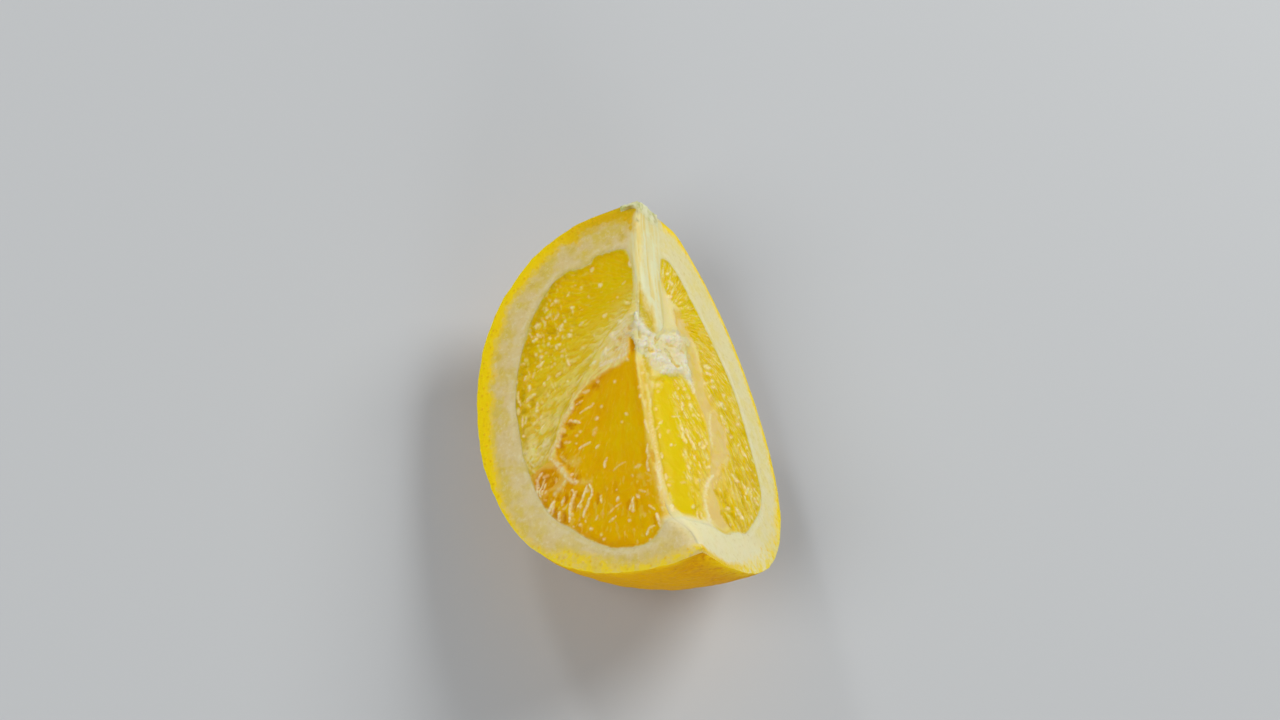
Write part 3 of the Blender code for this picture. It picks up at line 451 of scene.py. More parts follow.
LUMPS = [  # the tuft's white lobes
    (2.6, 1.0, 636.0, 313.2, 639.6, 322.6, 644.2, 330.3, 648.4, 334), (2.3, 0.8, 636.2, 322.7), (3.6, 1.0, 641.5, 345.9, 644.5, 338.9), (2.8, 0.8, 652.7, 336.8, 650.2, 353.2), (3.8, 0.9, 662.7, 338.0, 670, 339.4, 677.3, 338.6),
    (3.4, 0.6, 680, 345.3), (4.2, 0.95, 652, 352, 659, 358.6, 666.4, 361.6), (3.8, 0.9, 662.7, 371.4, 672, 368.6, 681, 369.5), (2.8, 0.9, 680.5, 355, 686.4, 369.5, 688.2, 376.9), (2.4, 0.5, 674, 350, 678, 356),
]
SHADED_DIPS = [  # and the furrows between them, darkened with painted shade
    (2.2, 0.8, 657, 336.7, 654.3, 342.9), (2.2, 0.9, 645.8, 348.8, 651.2, 351.9), (1.5, 0.75, 665, 350.1, 667.7, 353.7, 671.3, 360.4, 673.9, 365.7, 677.5, 367.1),
    (4.4, 0.4, 684.6, 347.9), (2.0, 0.7, 646.7, 359, 648.9, 367.9, 652, 374.6), (1.4, 0.5, 639.5, 331, 640.5, 337), (1.3, 0.5, 666, 344, 672, 347),
]
PITH_SPOTS = [  # olive blotches of the left pith
    (4.0, 0.6, 498.6, 357.2), (4.0, 0.7, 501, 371.5), (5.0, 0.6, 571.8, 251.4), (4.5, 0.6, 609.4, 245), (3.5, 0.5, 585.8, 252), (4.5, 0.6, 620.3, 230.7, 622, 240), (3.0, 0.5, 507, 331),
    (3.0, 0.5, 518, 306), (3.5, 0.5, 533, 285), (3.0, 0.4, 549, 268), (3.0, 0.4, 500, 402), (2.5, 0.4, 497, 430), (2.8, 0.35, 503, 470), (2.6, 0.4, 596, 238), (2.6, 0.35, 631, 244),
    (1.6, 0.5, 551.7, 521.5, 560.3, 527.0, 567.7, 530.1),
]
PITH_PALES = [  # whiter places of the pith
    (2.0, 0.8, 524.7, 472.3, 527.6, 479.8), (2.0, 0.8, 532, 484, 534, 490), (1.5, 0.6, 596, 256.8), (2.2, 0.6, 580.7, 260.9), (2.2, 0.5, 541, 498, 546, 506), (1.8, 0.5, 516, 455, 519, 462),
    (2.4, 0.5, 511, 376, 510, 392), (2.0, 0.4, 513, 350, 517, 336), (2.2, 0.4, 526, 318, 532, 308), (2.2, 0.45, 552, 286, 558, 279), (2.4, 0.4, 624, 246, 618, 243),
]
PEEL_LINE = [  # where the yellow of the peel ends and the pith begins, round the left face and the lower end
    (636.9, 212.9), (635.3, 217.3), (632.9, 228.5), (630.2, 231), (627.3, 223.7), (620, 221), (608.8, 222.7), (600.5, 224.6), (597.9, 228.4), (583.3, 232), (579.4, 234), (578.2, 243),
    (570.5, 243.7), (559.7, 245.6), (554.6, 253.3), (545, 259.6), (528, 280), (511.7, 300), (506.1, 310.2), (501.3, 330), (498.6, 335.4), (495.9, 341.2), (495, 350), (493.2, 353.2), (493.7, 361.3),
    (491.4, 366.6), (492.8, 374.6), (492.3, 381.3), (488.8, 385.8), (488.8, 390.3), (492.3, 394.7), (491.5, 410), (491.5, 440), (495, 470), (499, 490), (504.5, 508.5), (510, 518), (516, 527),
    (524, 537), (535, 546), (546, 551.5), (556, 552.5), (563, 549.5), (578, 553), (594, 557), (610, 560), (623, 563.5), (636, 564.5), (648, 562), (662, 557), (681, 551), (699, 543),
]


def paint(x, y, strokes, seed=0, soft=0.7, size=1.0):
    """How far brush strokes with uneven edges cover the places x, y of the picture, from 0 to 1."""
    shape = x.shape
    x, y = np.ravel(x), np.ravel(y)
    total = np.zeros_like(x)
    co = np.stack([x, y], -1)
    edge = 1.0 + 0.38 * noise(co / 3.0, seed) + 0.32 * noise(co / 1.4, seed + 1)
    for wide, strength, *line in strokes:
        wide = wide * size
        line = np.array(line, float).reshape(-1, 2)
        lo, hi = line.min(0) - 3.0 * wide, line.max(0) + 3.0 * wide
        near = np.flatnonzero((x > lo[0]) & (x < hi[0]) & (y > lo[1]) & (y < hi[1]))
        if not len(near):
            continue
        if len(line) > 1:
            dist, along = line_distance(x[near], y[near], curve(line, 4, closed=False))
            reach = wide * edge[near] * (0.62 + 0.38 * np.sqrt(np.sin(math.pi * np.clip(along, 0, 1))))
        else:
            dist, reach = np.hypot(x[near] - line[0, 0], y[near] - line[0, 1]), wide * edge[near]
        total[near] = np.maximum(total[near], strength * smooth(1.0 + 0.5 * soft - dist / np.maximum(reach, 0.2), 0.0, soft))
    return np.clip(total * (0.90 + 0.55 * noise(co / 2.1, seed + 2)), 0, 1).reshape(shape)


# ------------------------------------------------------------------ mesh helpers
def link(obj):
    bpy.context.scene.collection.objects.link(obj)
    return obj


def mesh_object(name, verts, faces, attributes=None, materials=(), slots=None, sharp=None):
    mesh = bpy.data.meshes.new(name)
    mesh.from_pydata(world(verts).tolist(), [], faces)
    for key, values in (attributes or {}).items():
        layer = mesh.attributes.new(key, "FLOAT", "POINT")
        layer.data.foreach_set("value", np.asarray(values, np.float32))
    for mat in materials:
        mesh.materials.append(mat)
    if slots is not None:
        mesh.polygons.foreach_set("material_index", np.asarray(slots, np.int32))
    mesh.polygons.foreach_set("use_smooth", np.ones(len(mesh.polygons), bool))
    mesh.update()
    if sharp is not None:
        mesh.set_sharp_from_angle(angle=math.radians(sharp))
    obj = link(bpy.data.objects.new(name, mesh))
    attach(obj, "root")
    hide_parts("orange_wedge")
    return obj


def grid_faces(index, flip=False):
    """Quads of a grid of vertex numbers; a corner used twice gives a triangle."""
    a, b, c, d = index[:-1, :-1].ravel(), index[1:, :-1].ravel(), index[1:, 1:].ravel(), index[:-1, 1:].ravel()
    quads = np.stack([a, d, c, b] if flip else [a, b, c, d], 1).tolist()
    out = []
    for q in quads:
        if len(set(q)) == 4:
            out.append(q)
        else:
            t = list(dict.fromkeys(q))
            if len(t) == 3:
                out.append(t)
    return out


def slab(name, region, spacing, height, depth, margin=0.3, materials=()):
    """A closed height field over an outline on the unrolled faces: relief on top, plain side and back."""
    lo, hi = region.min(0) - 2 * margin, region.max(0) + 2 * margin
    nx, ny = int((hi[0] - lo[0]) / spacing) + 1, int((hi[1] - lo[1]) / spacing) + 1
    x, y = np.meshgrid(lo[0] + spacing * np.arange(nx), lo[1] + spacing * np.arange(ny), indexing="ij")
    keep = inside(x, y, region) > -margin
    cell = keep[:-1, :-1] & keep[1:, :-1] & keep[1:, 1:] & keep[:-1, 1:]
    used = np.zeros_like(keep)
    for a, b in ((slice(None, -1), slice(None, -1)), (slice(1, None), slice(None, -1)), (slice(1, None), slice(1, None)), (slice(None, -1), slice(1, None))):
        used[a, b] |= cell
    number = np.full(keep.shape, -1)
    number[used] = np.arange(used.sum())
    px, py = x[used], y[used]
    quads = np.stack([number[:-1, :-1][cell], number[1:, :-1][cell], number[1:, 1:][cell], number[:-1, 1:][cell]], 1)
    # the border: edges with a cell on one side only, followed round
    pair = np.concatenate([quads[:, [k, (k + 1) % 4]] for k in range(4)])
    n = len(px)
    one_way = set((pair[:, 0] * n + pair[:, 1]).tolist())
    after = {}
    for e in one_way:
        a, b = divmod(e, n)
        if b * n + a not in one_way:
            after.setdefault(a, []).append(b)
    loops = []
    while after:
        start = at = next(iter(after))
        loop = []
        while True:
            loop.append(at)
            following = after[at].pop()
            if not after[at]:
                del after[at]
            at = following
            if at == start:
                break
        loops.append(loop)
    loop = max(loops, key=len)
    rim = np.array(loop)
    for _ in range(2):
        e = 0.05
        gx = (inside(px[rim] + e, py[rim], region) - inside(px[rim] - e, py[rim], region)) / (2 * e)
        gy = (inside(px[rim], py[rim] + e, region) - inside(px[rim], py[rim] - e, region)) / (2 * e)
        move = np.clip(-margin - inside(px[rim], py[rim], region), -spacing, spacing)
        px[rim] += move * gx
        py[rim] += move * gy
    h, values = height(px, py, inside(px, py, region))
    top = on_cut(px, py, h)
    # the back: the same border lower down, filled in over a coarse net
    sx, sy = np.meshgrid(np.arange(lo[0], hi[0], 3.0), np.arange(lo[1], hi[1], 3.0))
    sx, sy = sx.ravel(), sy.ravel()
    deep = inside(sx, sy, region) > 1.0
    bx, by = np.concatenate([px[rim], sx[deep]]), np.concatenate([py[rim], sy[deep]])
    m = len(rim)
    flat = [Vector(p) for p in zip(bx.tolist(), by.tolist())]
    made = delaunay_2d_cdt(flat, [(k, (k + 1) % m) for k in range(m)], [list(range(m))], 1, 1e-7)
    low_xy = np.array([p[:] for p in made[0]])
    origin = [o[0] if o else -1 for o in made[3]]
    low = on_cut(low_xy[:, 0], low_xy[:, 1], np.full(len(low_xy), -depth))
    down = {o: k for k, o in enumerate(origin) if 0 <= o < m}
    faces = quads.tolist()
    base = len(top)
    for tri in made[2]:
        a, b, c = (low_xy[t] for t in tri[:3])
        turn = (b[0] - a[0]) * (c[1] - a[1]) - (b[1] - a[1]) * (c[0] - a[0])
        tri = [base + t for t in tri]
        faces.append(tri[::-1] if turn > 0 else tri)
    for k in range(m):
        a, b = loop[k], loop[(k + 1) % m]
        faces.append([b, a, base + down[k], base + down[(k + 1) % m]])
    values = {k: np.concatenate([v, np.zeros(len(low))]) for k, v in values.items()}
    return mesh_object(name, np.concatenate([top, low]), faces, values, materials, sharp=62)


# ------------------------------------------------------------------ materials
def material(name):
    mat = bpy.data.materials.new(name)
    mat.use_nodes = True
    return mat, mat.node_tree.nodes, mat.node_tree.links, mat.node_tree.nodes["Principled BSDF"]


def attribute(nodes, name):
    n = nodes.new("ShaderNodeAttribute")
    n.attribute_name = name
    return n.outputs["Fac"]


def ramp(nodes, links, fac, stops, mode="EASE"):
    n = nodes.new("ShaderNodeValToRGB")
    n.color_ramp.interpolation = mode
    els = n.color_ramp.elements
    while len(els) < len(stops):
        els.new(0.5)
    for e, (pos, col) in zip(els, stops):
        e.position = pos
        e.color = (*col, 1.0) if len(col) == 3 else col
    links.new(fac, n.inputs["Fac"])
    return n.outputs["Color"]


def grey(x):
    return (x, x, x)


def math_node(nodes, links, op, a, b=None, c=None, clamp=False):
    n = nodes.new("ShaderNodeMath")
    n.operation = op
    n.use_clamp = clamp
    for k, v in enumerate((a, b, c)):
        if v is None:
            continue
        if isinstance(v, (int, float)):
            n.inputs[k].default_value = v
        else:
            links.new(v, n.inputs[k])
    return n.outputs[0]


def blend_colour(nodes, links, fac, a, b, mode="MIX"):
    n = nodes.new("ShaderNodeMix")
    n.data_type = "RGBA"
    n.blend_type = mode
    for socket, v in (("Factor", fac), ("A", a), ("B", b)):
        target = [s for s in n.inputs if s.name == socket and (s.type == "RGBA" or socket == "Factor" and s.type == "VALUE")][0]
        if isinstance(v, (tuple, list)):
            target.default_value = (*v, 1.0)
        elif isinstance(v, (int, float)):
            target.default_value = v
        else:
            links.new(v, target)
    return [s for s in n.outputs if s.type == "RGBA"][0]


def object_noise(nodes, links, scale, detail=3.0, rough=0.5, stretch=None, distortion=0.0):
    """Noise in the object's own millimetres."""
    co = nodes.new("ShaderNodeTexCoord")
    mp = nodes.new("ShaderNodeMapping")
    mp.inputs["Scale"].default_value = stretch or (1.0, 1.0, 1.0)
    links.new(co.outputs["Object"], mp.inputs["Vector"])
    n = nodes.new("ShaderNodeTexNoise")
    n.inputs["Scale"].default_value = scale * 1000.0
    n.inputs["Detail"].default_value = detail
    n.inputs["Roughness"].default_value = rough
    n.inputs["Distortion"].default_value = distortion
    links.new(mp.outputs["Vector"], n.inputs["Vector"])
    return n.outputs["Fac"]


def object_voronoi(nodes, links, scale, feature="F1", randomness=1.0):
    co = nodes.new("ShaderNodeTexCoord")
    n = nodes.new("ShaderNodeTexVoronoi")
    n.feature = feature
    n.inputs["Scale"].default_value = scale * 1000.0
    n.inputs["Randomness"].default_value = randomness
    links.new(co.outputs["Object"], n.inputs["Vector"])
    return n.outputs["Distance"]


def bump(nodes, links, height, strength, distance, normal=None):
    n = nodes.new("ShaderNodeBump")
    n.inputs["Strength"].default_value = strength
    n.inputs["Distance"].default_value = distance * 0.001
    links.new(height, n.inputs["Height"])
    if normal is not None:
        links.new(normal, n.inputs["Normal"])
    return n.outputs["Normal"]


def subsurface(shader, weight, radius, scale):
    shader.inputs["Subsurface Weight"].default_value = weight
    shader.inputs["Subsurface Radius"].default_value = radius
    shader.inputs["Subsurface Scale"].default_value = scale * 0.001


def rind_material():
    """Waxy peel: orange with oil glands as small pits, yellow along the cut, with painted highlight specks and painted
    light towards the left cut.
    """
    mat, nodes, links, shader = material("orange_rind")
    broad = object_noise(nodes, links, 0.06, 3.0)
    colour = ramp(nodes, links, broad, [(0.30, (0.63, 0.24, 0.0)), (0.55, (0.73, 0.32, 0.0)), (0.75, (0.80, 0.40, 0.0))])
    gland = object_voronoi(nodes, links, 0.85)
    dot = ramp(nodes, links, gland, [(0.0, grey(1.0)), (0.35, grey(0.0))])
    colour = blend_colour(nodes, links, math_node(nodes, links, "MULTIPLY", dot, 0.5), colour, (0.56, 0.20, 0.0))
    fine = object_noise(nodes, links, 1.6, 2.0)
    # painted highlight: lighter golden specks from fine noise
    colour = blend_colour(nodes, links, ramp(nodes, links, fine, [(0.40, grey(0.03)), (0.70, grey(0.50))]), colour, (0.88, 0.52, 0.004))
    # painted light: the rind is lighter towards the left cut
    painted_side_light = math_node(nodes, links, "MULTIPLY_ADD", attribute(nodes, "side"), -0.9, 0.65, clamp=True)
    colour = blend_colour(nodes, links, painted_side_light, colour, (0.84, 0.46, 0.0))
    edge = attribute(nodes, "edge")
    colour = blend_colour(nodes, links, edge, colour, (0.92, 0.62, 0.002))
    links.new(colour, shader.inputs["Base Color"])
    links.new(ramp(nodes, links, fine, [(0.3, grey(0.50)), (0.7, grey(0.66))]), shader.inputs["Roughness"])
    pore = ramp(nodes, links, gland, [(0.0, grey(0.0)), (0.28, grey(0.75)), (0.6, grey(1.0))])
    normal = bump(nodes, links, pore, 0.7, 0.22)
    normal = bump(nodes, links, object_noise(nodes, links, 0.45, 3.0), 0.5, 0.5, normal)
    links.new(normal, shader.inputs["Normal"])
    shader.inputs["Specular IOR Level"].default_value = 0.04
    subsurface(shader, 0.15, (1.6, 0.7, 0.1), 0.8)
    return mat


def pith_material():
    """Cut peel: a yellow edge with oil glands, then soft cream pith. Attributes: band (depth
    below the rind), side, inner (whiter), olive, column and grain, hollow_and_shade (the core's groove and tan marks,
    partly painted shade), gold, faint."""
    mat, nodes, links, shader = material("orange_pith")
    band = attribute(nodes, "band")
    wobble = object_noise(nodes, links, 0.55, 3.0, 0.6)
    gland = object_voronoi(nodes, links, 0.95)
    depth = math_node(nodes, links, "ADD", band, math_node(nodes, links, "MULTIPLY_ADD", wobble, 1.8, -0.9))
    depth = math_node(nodes, links, "ADD", depth, math_node(nodes, links, "MULTIPLY_ADD", gland, 0.9, -0.42))
    depth = math_node(nodes, links, "MULTIPLY", depth, 0.25)
    side = attribute(nodes, "side")  # 0 on the left face, 1 on the right one
    cream = blend_colour(nodes, links, side, (0.77, 0.61, 0.28), (0.80, 0.72, 0.37))
    warm = blend_colour(nodes, links, side, (0.75, 0.575, 0.11), (0.80, 0.70, 0.26))
    mottle = object_noise(nodes, links, 0.28, 4.0, 0.6)
    speckle = object_noise(nodes, links, 1.1, 3.0, 0.7)
    patchy = math_node(nodes, links, "ADD", ramp(nodes, links, mottle, [(0.42, grey(0.0)), (0.64, grey(0.9))]), attribute(nodes, "olive"), clamp=True)
    pith = blend_colour(nodes, links, patchy, cream, warm)
    deep = math_node(nodes, links, "MULTIPLY_ADD", attribute(nodes, "olive"), 1.1, -0.70, clamp=True)
    pith = blend_colour(nodes, links, deep, pith, (0.62, 0.42, 0.05))
    inner = attribute(nodes, "inner")
    pale = blend_colour(nodes, links, side, (0.83, 0.71, 0.40), (0.84, 0.79, 0.49))
    pith = blend_colour(nodes, links, inner, pith, pale)
    pith = blend_colour(nodes, links, ramp(nodes, links, speckle, [(0.50, grey(0.0)), (0.74, grey(0.40))]), pith, (0.86, 0.78, 0.52))
    pith = blend_colour(nodes, links, ramp(nodes, links, speckle, [(0.25, grey(0.35)), (0.48, grey(0.0))]), pith, (0.62, 0.46, 0.13))
    column = blend_colour(nodes, links, attribute(nodes, "grain"), (0.80, 0.64, 0.20), (0.79, 0.78, 0.48))
    pith = blend_colour(nodes, links, attribute(nodes, "column"), pith, column)
    flavedo = blend_colour(nodes, links, attribute(nodes, "faint"), (0.99, 0.70, 0.001), (0.90, 0.70, 0.05))
    flavedo = blend_colour(nodes, links, attribute(nodes, "gold"), flavedo, (0.76, 0.49, 0.002))
    dot = math_node(nodes, links, "MULTIPLY", ramp(nodes, links, gland, [(0.05, grey(1.0)), (0.38, grey(0.0))]), 0.75)
    peel = blend_colour(nodes, links, dot, flavedo, (0.86, 0.52, 0.006))
    edge = ramp(nodes, links, depth, [(0.0, grey(1.0)), (0.18, grey(0.92)), (0.32, grey(0.48)), (0.62, grey(0.0))])
    broken = math_node(nodes, links, "MULTIPLY", attribute(nodes, "faint"), ramp(nodes, links, object_noise(nodes, links, 0.8, 3.0, 0.6), [(0.42, grey(0.0)), (0.58, grey(0.75))]))
    colour = blend_colour(nodes, links, math_node(nodes, links, "MULTIPLY", edge, math_node(nodes, links, "SUBTRACT", 1.0, broken)), pith, peel)
    # the core's groove and tan marks, partly painted shade, with a painted shadow under the button's rim
    colour = blend_colour(nodes, links, attribute(nodes, "hollow_and_shade"), colour, (0.69, 0.47, 0.02))
    links.new(colour, shader.inputs["Base Color"])
    shader.inputs["Roughness"].default_value = 0.5
    grain = object_noise(nodes, links, 1.3, 4.0, 0.65)
    normal = bump(nodes, links, grain, 0.35, 0.18)
    glands = math_node(nodes, links, "MULTIPLY", ramp(nodes, links, gland, [(0.0, grey(1.0)), (0.5, grey(0.0))]), edge)
    normal = bump(nodes, links, glands, 0.5, 0.2, normal)
    links.new(normal, shader.inputs["Normal"])
    shader.inputs["Specular IOR Level"].default_value = 0.10
    subsurface(shader, 0.35, (1.5, 1.1, 0.5), 1.2)
    return mat


def flesh_material(name, snow):
    """Juice sacs and membranes. Attributes: juice (lemon to deep orange), pale and white
    (membranes), tan (the translucent flap), fleck (painted highlights on the sac walls), cell, and shade with warm
    (painted shade and its hue)."""
    mat, nodes, links, shader = material(name)
    soft = object_noise(nodes, links, 0.5, 3.0)
    fine = object_noise(nodes, links, 1.8, 3.0, 0.6)
    fac = math_node(nodes, links, "ADD", attribute(nodes, "juice"), math_node(nodes, links, "MULTIPLY_ADD", attribute(nodes, "cell"), 0.16, -0.08))
    fac = math_node(nodes, links, "ADD", fac, math_node(nodes, links, "MULTIPLY_ADD", soft, 0.24, -0.12), clamp=True)
    colour = ramp(nodes, links, fac, [(0.0, (0.785, 0.60, 0.0)), (0.3, (0.82, 0.535, 0.0)), (0.6, (0.83, 0.455, 0.0)),
                                      (0.82, (0.77, 0.37, 0.0)), (1.0, (0.69, 0.28, 0.0))], "LINEAR")
    veil = math_node(nodes, links, "MULTIPLY", attribute(nodes, "pale"), math_node(nodes, links, "MULTIPLY_ADD", fine, 0.5, 0.75), clamp=True)
    membrane = blend_colour(nodes, links, attribute(nodes, "white"), (0.87, 0.71, 0.20), snow)
    membrane = blend_colour(nodes, links, attribute(nodes, "tan"), membrane, (0.79, 0.57, 0.19))
    colour = blend_colour(nodes, links, veil, colour, membrane)
    fleck = attribute(nodes, "fleck")
    # painted shade: the shade attribute darkens towards golden to orange, by warm
    painted_shade_colour = ramp(nodes, links, attribute(nodes, "warm"), [(0.0, (0.67, 0.46, 0.0)), (0.5, (0.58, 0.385, 0.0)), (1.0, (0.61, 0.285, 0.0))], "LINEAR")
    colour = blend_colour(nodes, links, math_node(nodes, links, "MULTIPLY", attribute(nodes, "shade"), 0.85), colour, painted_shade_colour)
    # painted highlights: the glints in a pale peach colour
    colour = blend_colour(nodes, links, fleck, colour, (1.0, 0.81, 0.48))
    links.new(colour, shader.inputs["Base Color"])
    rough = ramp(nodes, links, fleck, [(0.0, grey(0.30)), (0.5, grey(0.12))])
    links.new(rough, shader.inputs["Roughness"])
    normal = bump(nodes, links, fine, 0.22, 0.10)
    links.new(normal, shader.inputs["Normal"])
    shader.inputs["IOR"].default_value = 1.36
    shader.inputs["Specular IOR Level"].default_value = 0.06
    subsurface(shader, 0.45, (1.8, 0.9, 0.08), 1.5)
    return mat


def button_material():
    """Dried stem button: whitish green, with painted olive shade under its rim and between its lumps, cream where it
    joins the core.
    """
    mat, nodes, links, shader = material("stem_button")
    n = object_noise(nodes, links, 0.7, 4.0, 0.6)
    colour = ramp(nodes, links, n, [(0.32, (0.48, 0.52, 0.16)), (0.46, (0.70, 0.71, 0.38)), (0.64, (0.80, 0.80, 0.52))])
    colour = blend_colour(nodes, links, attribute(nodes, "root"), colour, (0.80, 0.72, 0.34))
    # painted shade: olive under the rim and between the lumps
    colour = blend_colour(nodes, links, attribute(nodes, "valley_shade"), colour, (0.43, 0.32, 0.03))
    links.new(colour, shader.inputs["Base Color"])
    shader.inputs["Roughness"].default_value = 0.55
    links.new(bump(nodes, links, object_noise(nodes, links, 1.6, 4.0, 0.7), 0.5, 0.3), shader.inputs["Normal"])
    subsurface(shader, 0.25, (1.2, 1.2, 0.6), 0.8)
    return mat


RIND, PITH, BUTTON = rind_material(), pith_material(), button_material()
PULP, TUFT = flesh_material("orange_flesh", (0.89, 0.80, 0.53)), flesh_material("core_fibre", (0.78, 0.73, 0.58))


# ------------------------------------------------------------------ the skin: rind and pith
def skin():
    rows, around = 340, 100
    theta = np.linspace(0.0, math.pi, rows + 1)
    th, ph = np.meshgrid(theta, np.linspace(-HALF, HALF, around + 1), indexing="ij")
    r = fruit_radius(th, ph)
    r[0, :], r[-1, :] = r[0].mean(), r[-1].mean()
    direction = np.stack([np.sin(th) * np.sin(ph), np.cos(th), -np.sin(th) * np.cos(ph)], -1)
    p = direction * r[..., None]
    swell = 0.30 * fbm(p / 7.0, 3, seed=3) + 0.16 * fbm(p / 2.2, 2, seed=11)
    p = p + direction * (swell * smooth(np.sin(th), 0.0, 0.15))[..., None]
    # the rind is pressed flat where it lies
    turned = p @ TURN.T
    low = REST_FLOOR - turned[..., 2]
    turned[..., 2] += np.where(low > 0.25, low, np.where(low > -0.25, (low + 0.25) ** 2, 0.0))
    turned[..., 2] = np.maximum(turned[..., 2], REST_FLOOR)
    p = turned @ TURN
    p[0, :], p[-1, :] = p[0, 0], p[-1, 0]

    left_edge, right_edge = p[:, 0], p[:, -1]
    v_left, v_right = left_edge[:, 1], right_edge[:, 1]
    u_edge = np.linalg.norm(left_edge[:, [0, 2]], axis=1)
    w_edge = np.linalg.norm(right_edge[:, [0, 2]], axis=1)
    v_ridge = (v_left + v_right) / 2
    u_ridge = np.minimum(ridge_u(v_ridge), u_edge * 0.8)
    u_ridge[0] = u_ridge[-1] = 0.0

    def columns(length):
        """From the ridge (0) to the rind (1): fine beside both, coarse under the flesh."""
        near, far = np.minimum(7.5, 0.38 * length), np.minimum(11.0, 0.46 * length)
        k = np.concatenate([np.linspace(0, 1, 32)[None] * near[:, None],
                            near[:, None] + np.linspace(0, 1, 9)[None, 1:-1] * (length - near - far)[:, None],
                            (length - far)[:, None] + np.linspace(0, 1, 46)[None] * far[:, None]], 1)
        return k / np.maximum(length, 1e-9)[:, None]

    peel_line = np.concatenate([curve(PEEL_LINE, 4, closed=False), [(740.0, 480.0), (740.0, 300.0), (690.0, 205.0), (645.0, 205.0)]])

    def face(edge_x, v_edge, start_x, is_right):
        g = columns(np.maximum(edge_x - start_x, 1e-6))
        x = start_x[:, None] + g * (edge_x - start_x)[:, None]
        v = v_ridge[:, None] + g * (v_edge - v_ridge)[:, None]
        s = x if is_right else ridge_u(v) - x
        d = inside(s, v, FLESH)
        rim, _ = line_distance(x, v, np.stack([edge_x, v_edge], 1))
        co = np.stack([s, v], -1)
        flat = on_right(x, v, np.zeros_like(x)) if is_right else on_left(x, v, np.zeros_like(x))
        seen = picture(flat)
        strand, groove, tan = paint(*seen, CORE_STRANDS, 71, 1.9), paint(*seen, CORE_GROOVES, 73, 2.0), paint(*seen, CORE_TANS_AND_SHADE, 75, 1.8)
        h = -1.4 * smooth(d, 0.15, 1.0)
        pith = smooth(-d, -0.1, 0.3)
        calm = np.maximum(*calm_zone(s, v))
        rough = pith * mix(1.0, smooth(-d, 0.1, 1.3), calm)
        h += rough * (0.12 * fbm(co / 2.6, 3, seed=21) + 0.07 * fbm(co / 0.8, 2, seed=25)) * smooth(rim, 0.0, 0.6)
        h += pith * (1 - calm) * 0.04 * np.exp(-((d + 0.5) / 0.5) ** 2)  # the pith's lip beside the flesh
        # core fibres run down from the stem beside the ridge, with a hollow under the first
        above = smooth(v, 6.0, 9.0)
        h += rough * (0.18 * strand * (1 - groove) - 0.08 * tan) - pith * 0.20 * groove
        for line, size in zip(STRANDS, (0.10, 0.06)):
            dist, along = line_distance(s, v, line)
            h += size * np.exp(-((dist / 0.9) ** 2)) * smooth(along, 0.0, 0.35) * smooth(-d, 0.1, 1.1)
        drift = s - 0.05 * (27.0 - v) - 0.6 * fbm(np.stack([s / 6.0, v / 9.0], -1), 2, seed=71)
        grain = 0.5 + 0.5 * fbm(np.stack([drift / 0.7, v / 16.0], -1), 3, seed=72, gain=0.6)
        column = smooth(s, -2.6, -1.2) * (1 - smooth(s, 5.6, 8.2)) * above * (1 - smooth(v, 31.5, 34.0) * 0.4)
        h += column * 0.10 * (grain - 0.5) * smooth(-d, 0.0, 1.0)
        rounded = smooth(-v, 18.0, 25.0)
        h -= ridge_round(s, v) * smooth(rim, 0.2, 2.2)
        grain = np.clip(smooth(grain, 0.30, 0.68) * 0.75 + 0.8 * strand, 0, 1)
        h[:, -1] = 0.0
        q = on_right(x, v, h) if is_right else on_left(x, v, h)
        wide = mix(1.9, 1.45, smooth(s, -2.0, 3.0)) * (1.0 + 0.35 * noise(np.stack([v / 5.0, s * 0 + is_right], -1), seed=33))
        tip = is_right * smooth(-v, 27.0, 30.0) * (1 - smooth(seen[0], 728.0, 752.0))
        wide = wide * (1 - 0.45 * is_right * smooth(v, -20.0, -10.0)) * (1 - 0.62 * tip)
        band = rim / wide - 0.6 * tip
        drawn = smooth(-v, 23.0, 26.0) * (1 - smooth(seen[0], 682.0, 694.0)) if is_right else np.ones_like(v)
        band = mix(band, 1.2 + inside(*seen, peel_line) / 4.2, drawn)
        band = band + 6.0 * smooth(v, 28.5, 31.0) * (1 - smooth(s, 7.0, 9.0)) * smooth(s, -0.6, 0.2)
        # olive blotches outside, a whiter band beside the flesh
        outer = 1 - smooth(rim - wide, 0.0, 3.2)
        olive = 1.3 * paint(*seen, PITH_SPOTS, 81, 1.5) + outer * (0.55 + 0.8 * fbm(co / 1.8, 3, seed=82)) * (1 - smooth(s, -3.0, 1.0)) * (1 - 0.6 * smooth(-v, 8.0, 16.0))
        inner = 0.85 * np.exp(-(((d + 0.85) / 0.55) ** 2)) * smooth(0.45 + fbm(co / 2.5, 3, seed=29), 0.0, 0.8)
        inner = np.maximum(inner, paint(*seen, PITH_PALES, 84, 1.2))
        inner = np.maximum(inner, (0.40 + 0.5 * fbm(co / 1.8, 3, seed=86)) * smooth(-v, 4.0, 16.0) * smooth(rim - wide, 0.5, 2.5) * (1 - smooth(s, -3.0, 0.0)))
        inner = np.maximum(inner, (0.75 + 0.3 * fbm(co / 1.6, 2, seed=85)) * smooth(-v, 24.0, 28.0) * smooth(s, -6.0, 0.0) * (1 - smooth(s, 26.0, 30.0)))
        attributes = {"band": band, "inner": inner, "olive": np.clip(olive, 0, 1), "hollow_and_shade": np.clip(1.15 * groove * (1 - 0.35 * strand) + 0.45 * tan, 0, 1),
                      "column": column, "grain": grain, "side": smooth(s, mix(-1.0, -2.5, rounded), mix(1.0, 2.5, rounded)),
                      "gold": smooth(v, 21.0, 29.0) * (1 - is_right) * smooth(s, -22.0, -7.0) + 0.55 * tip, "faint": smooth(-v, 17.0, 24.0) * (0.6 + 0.4 * is_right) * (1 - 0.9 * tip)}
        return q, attributes

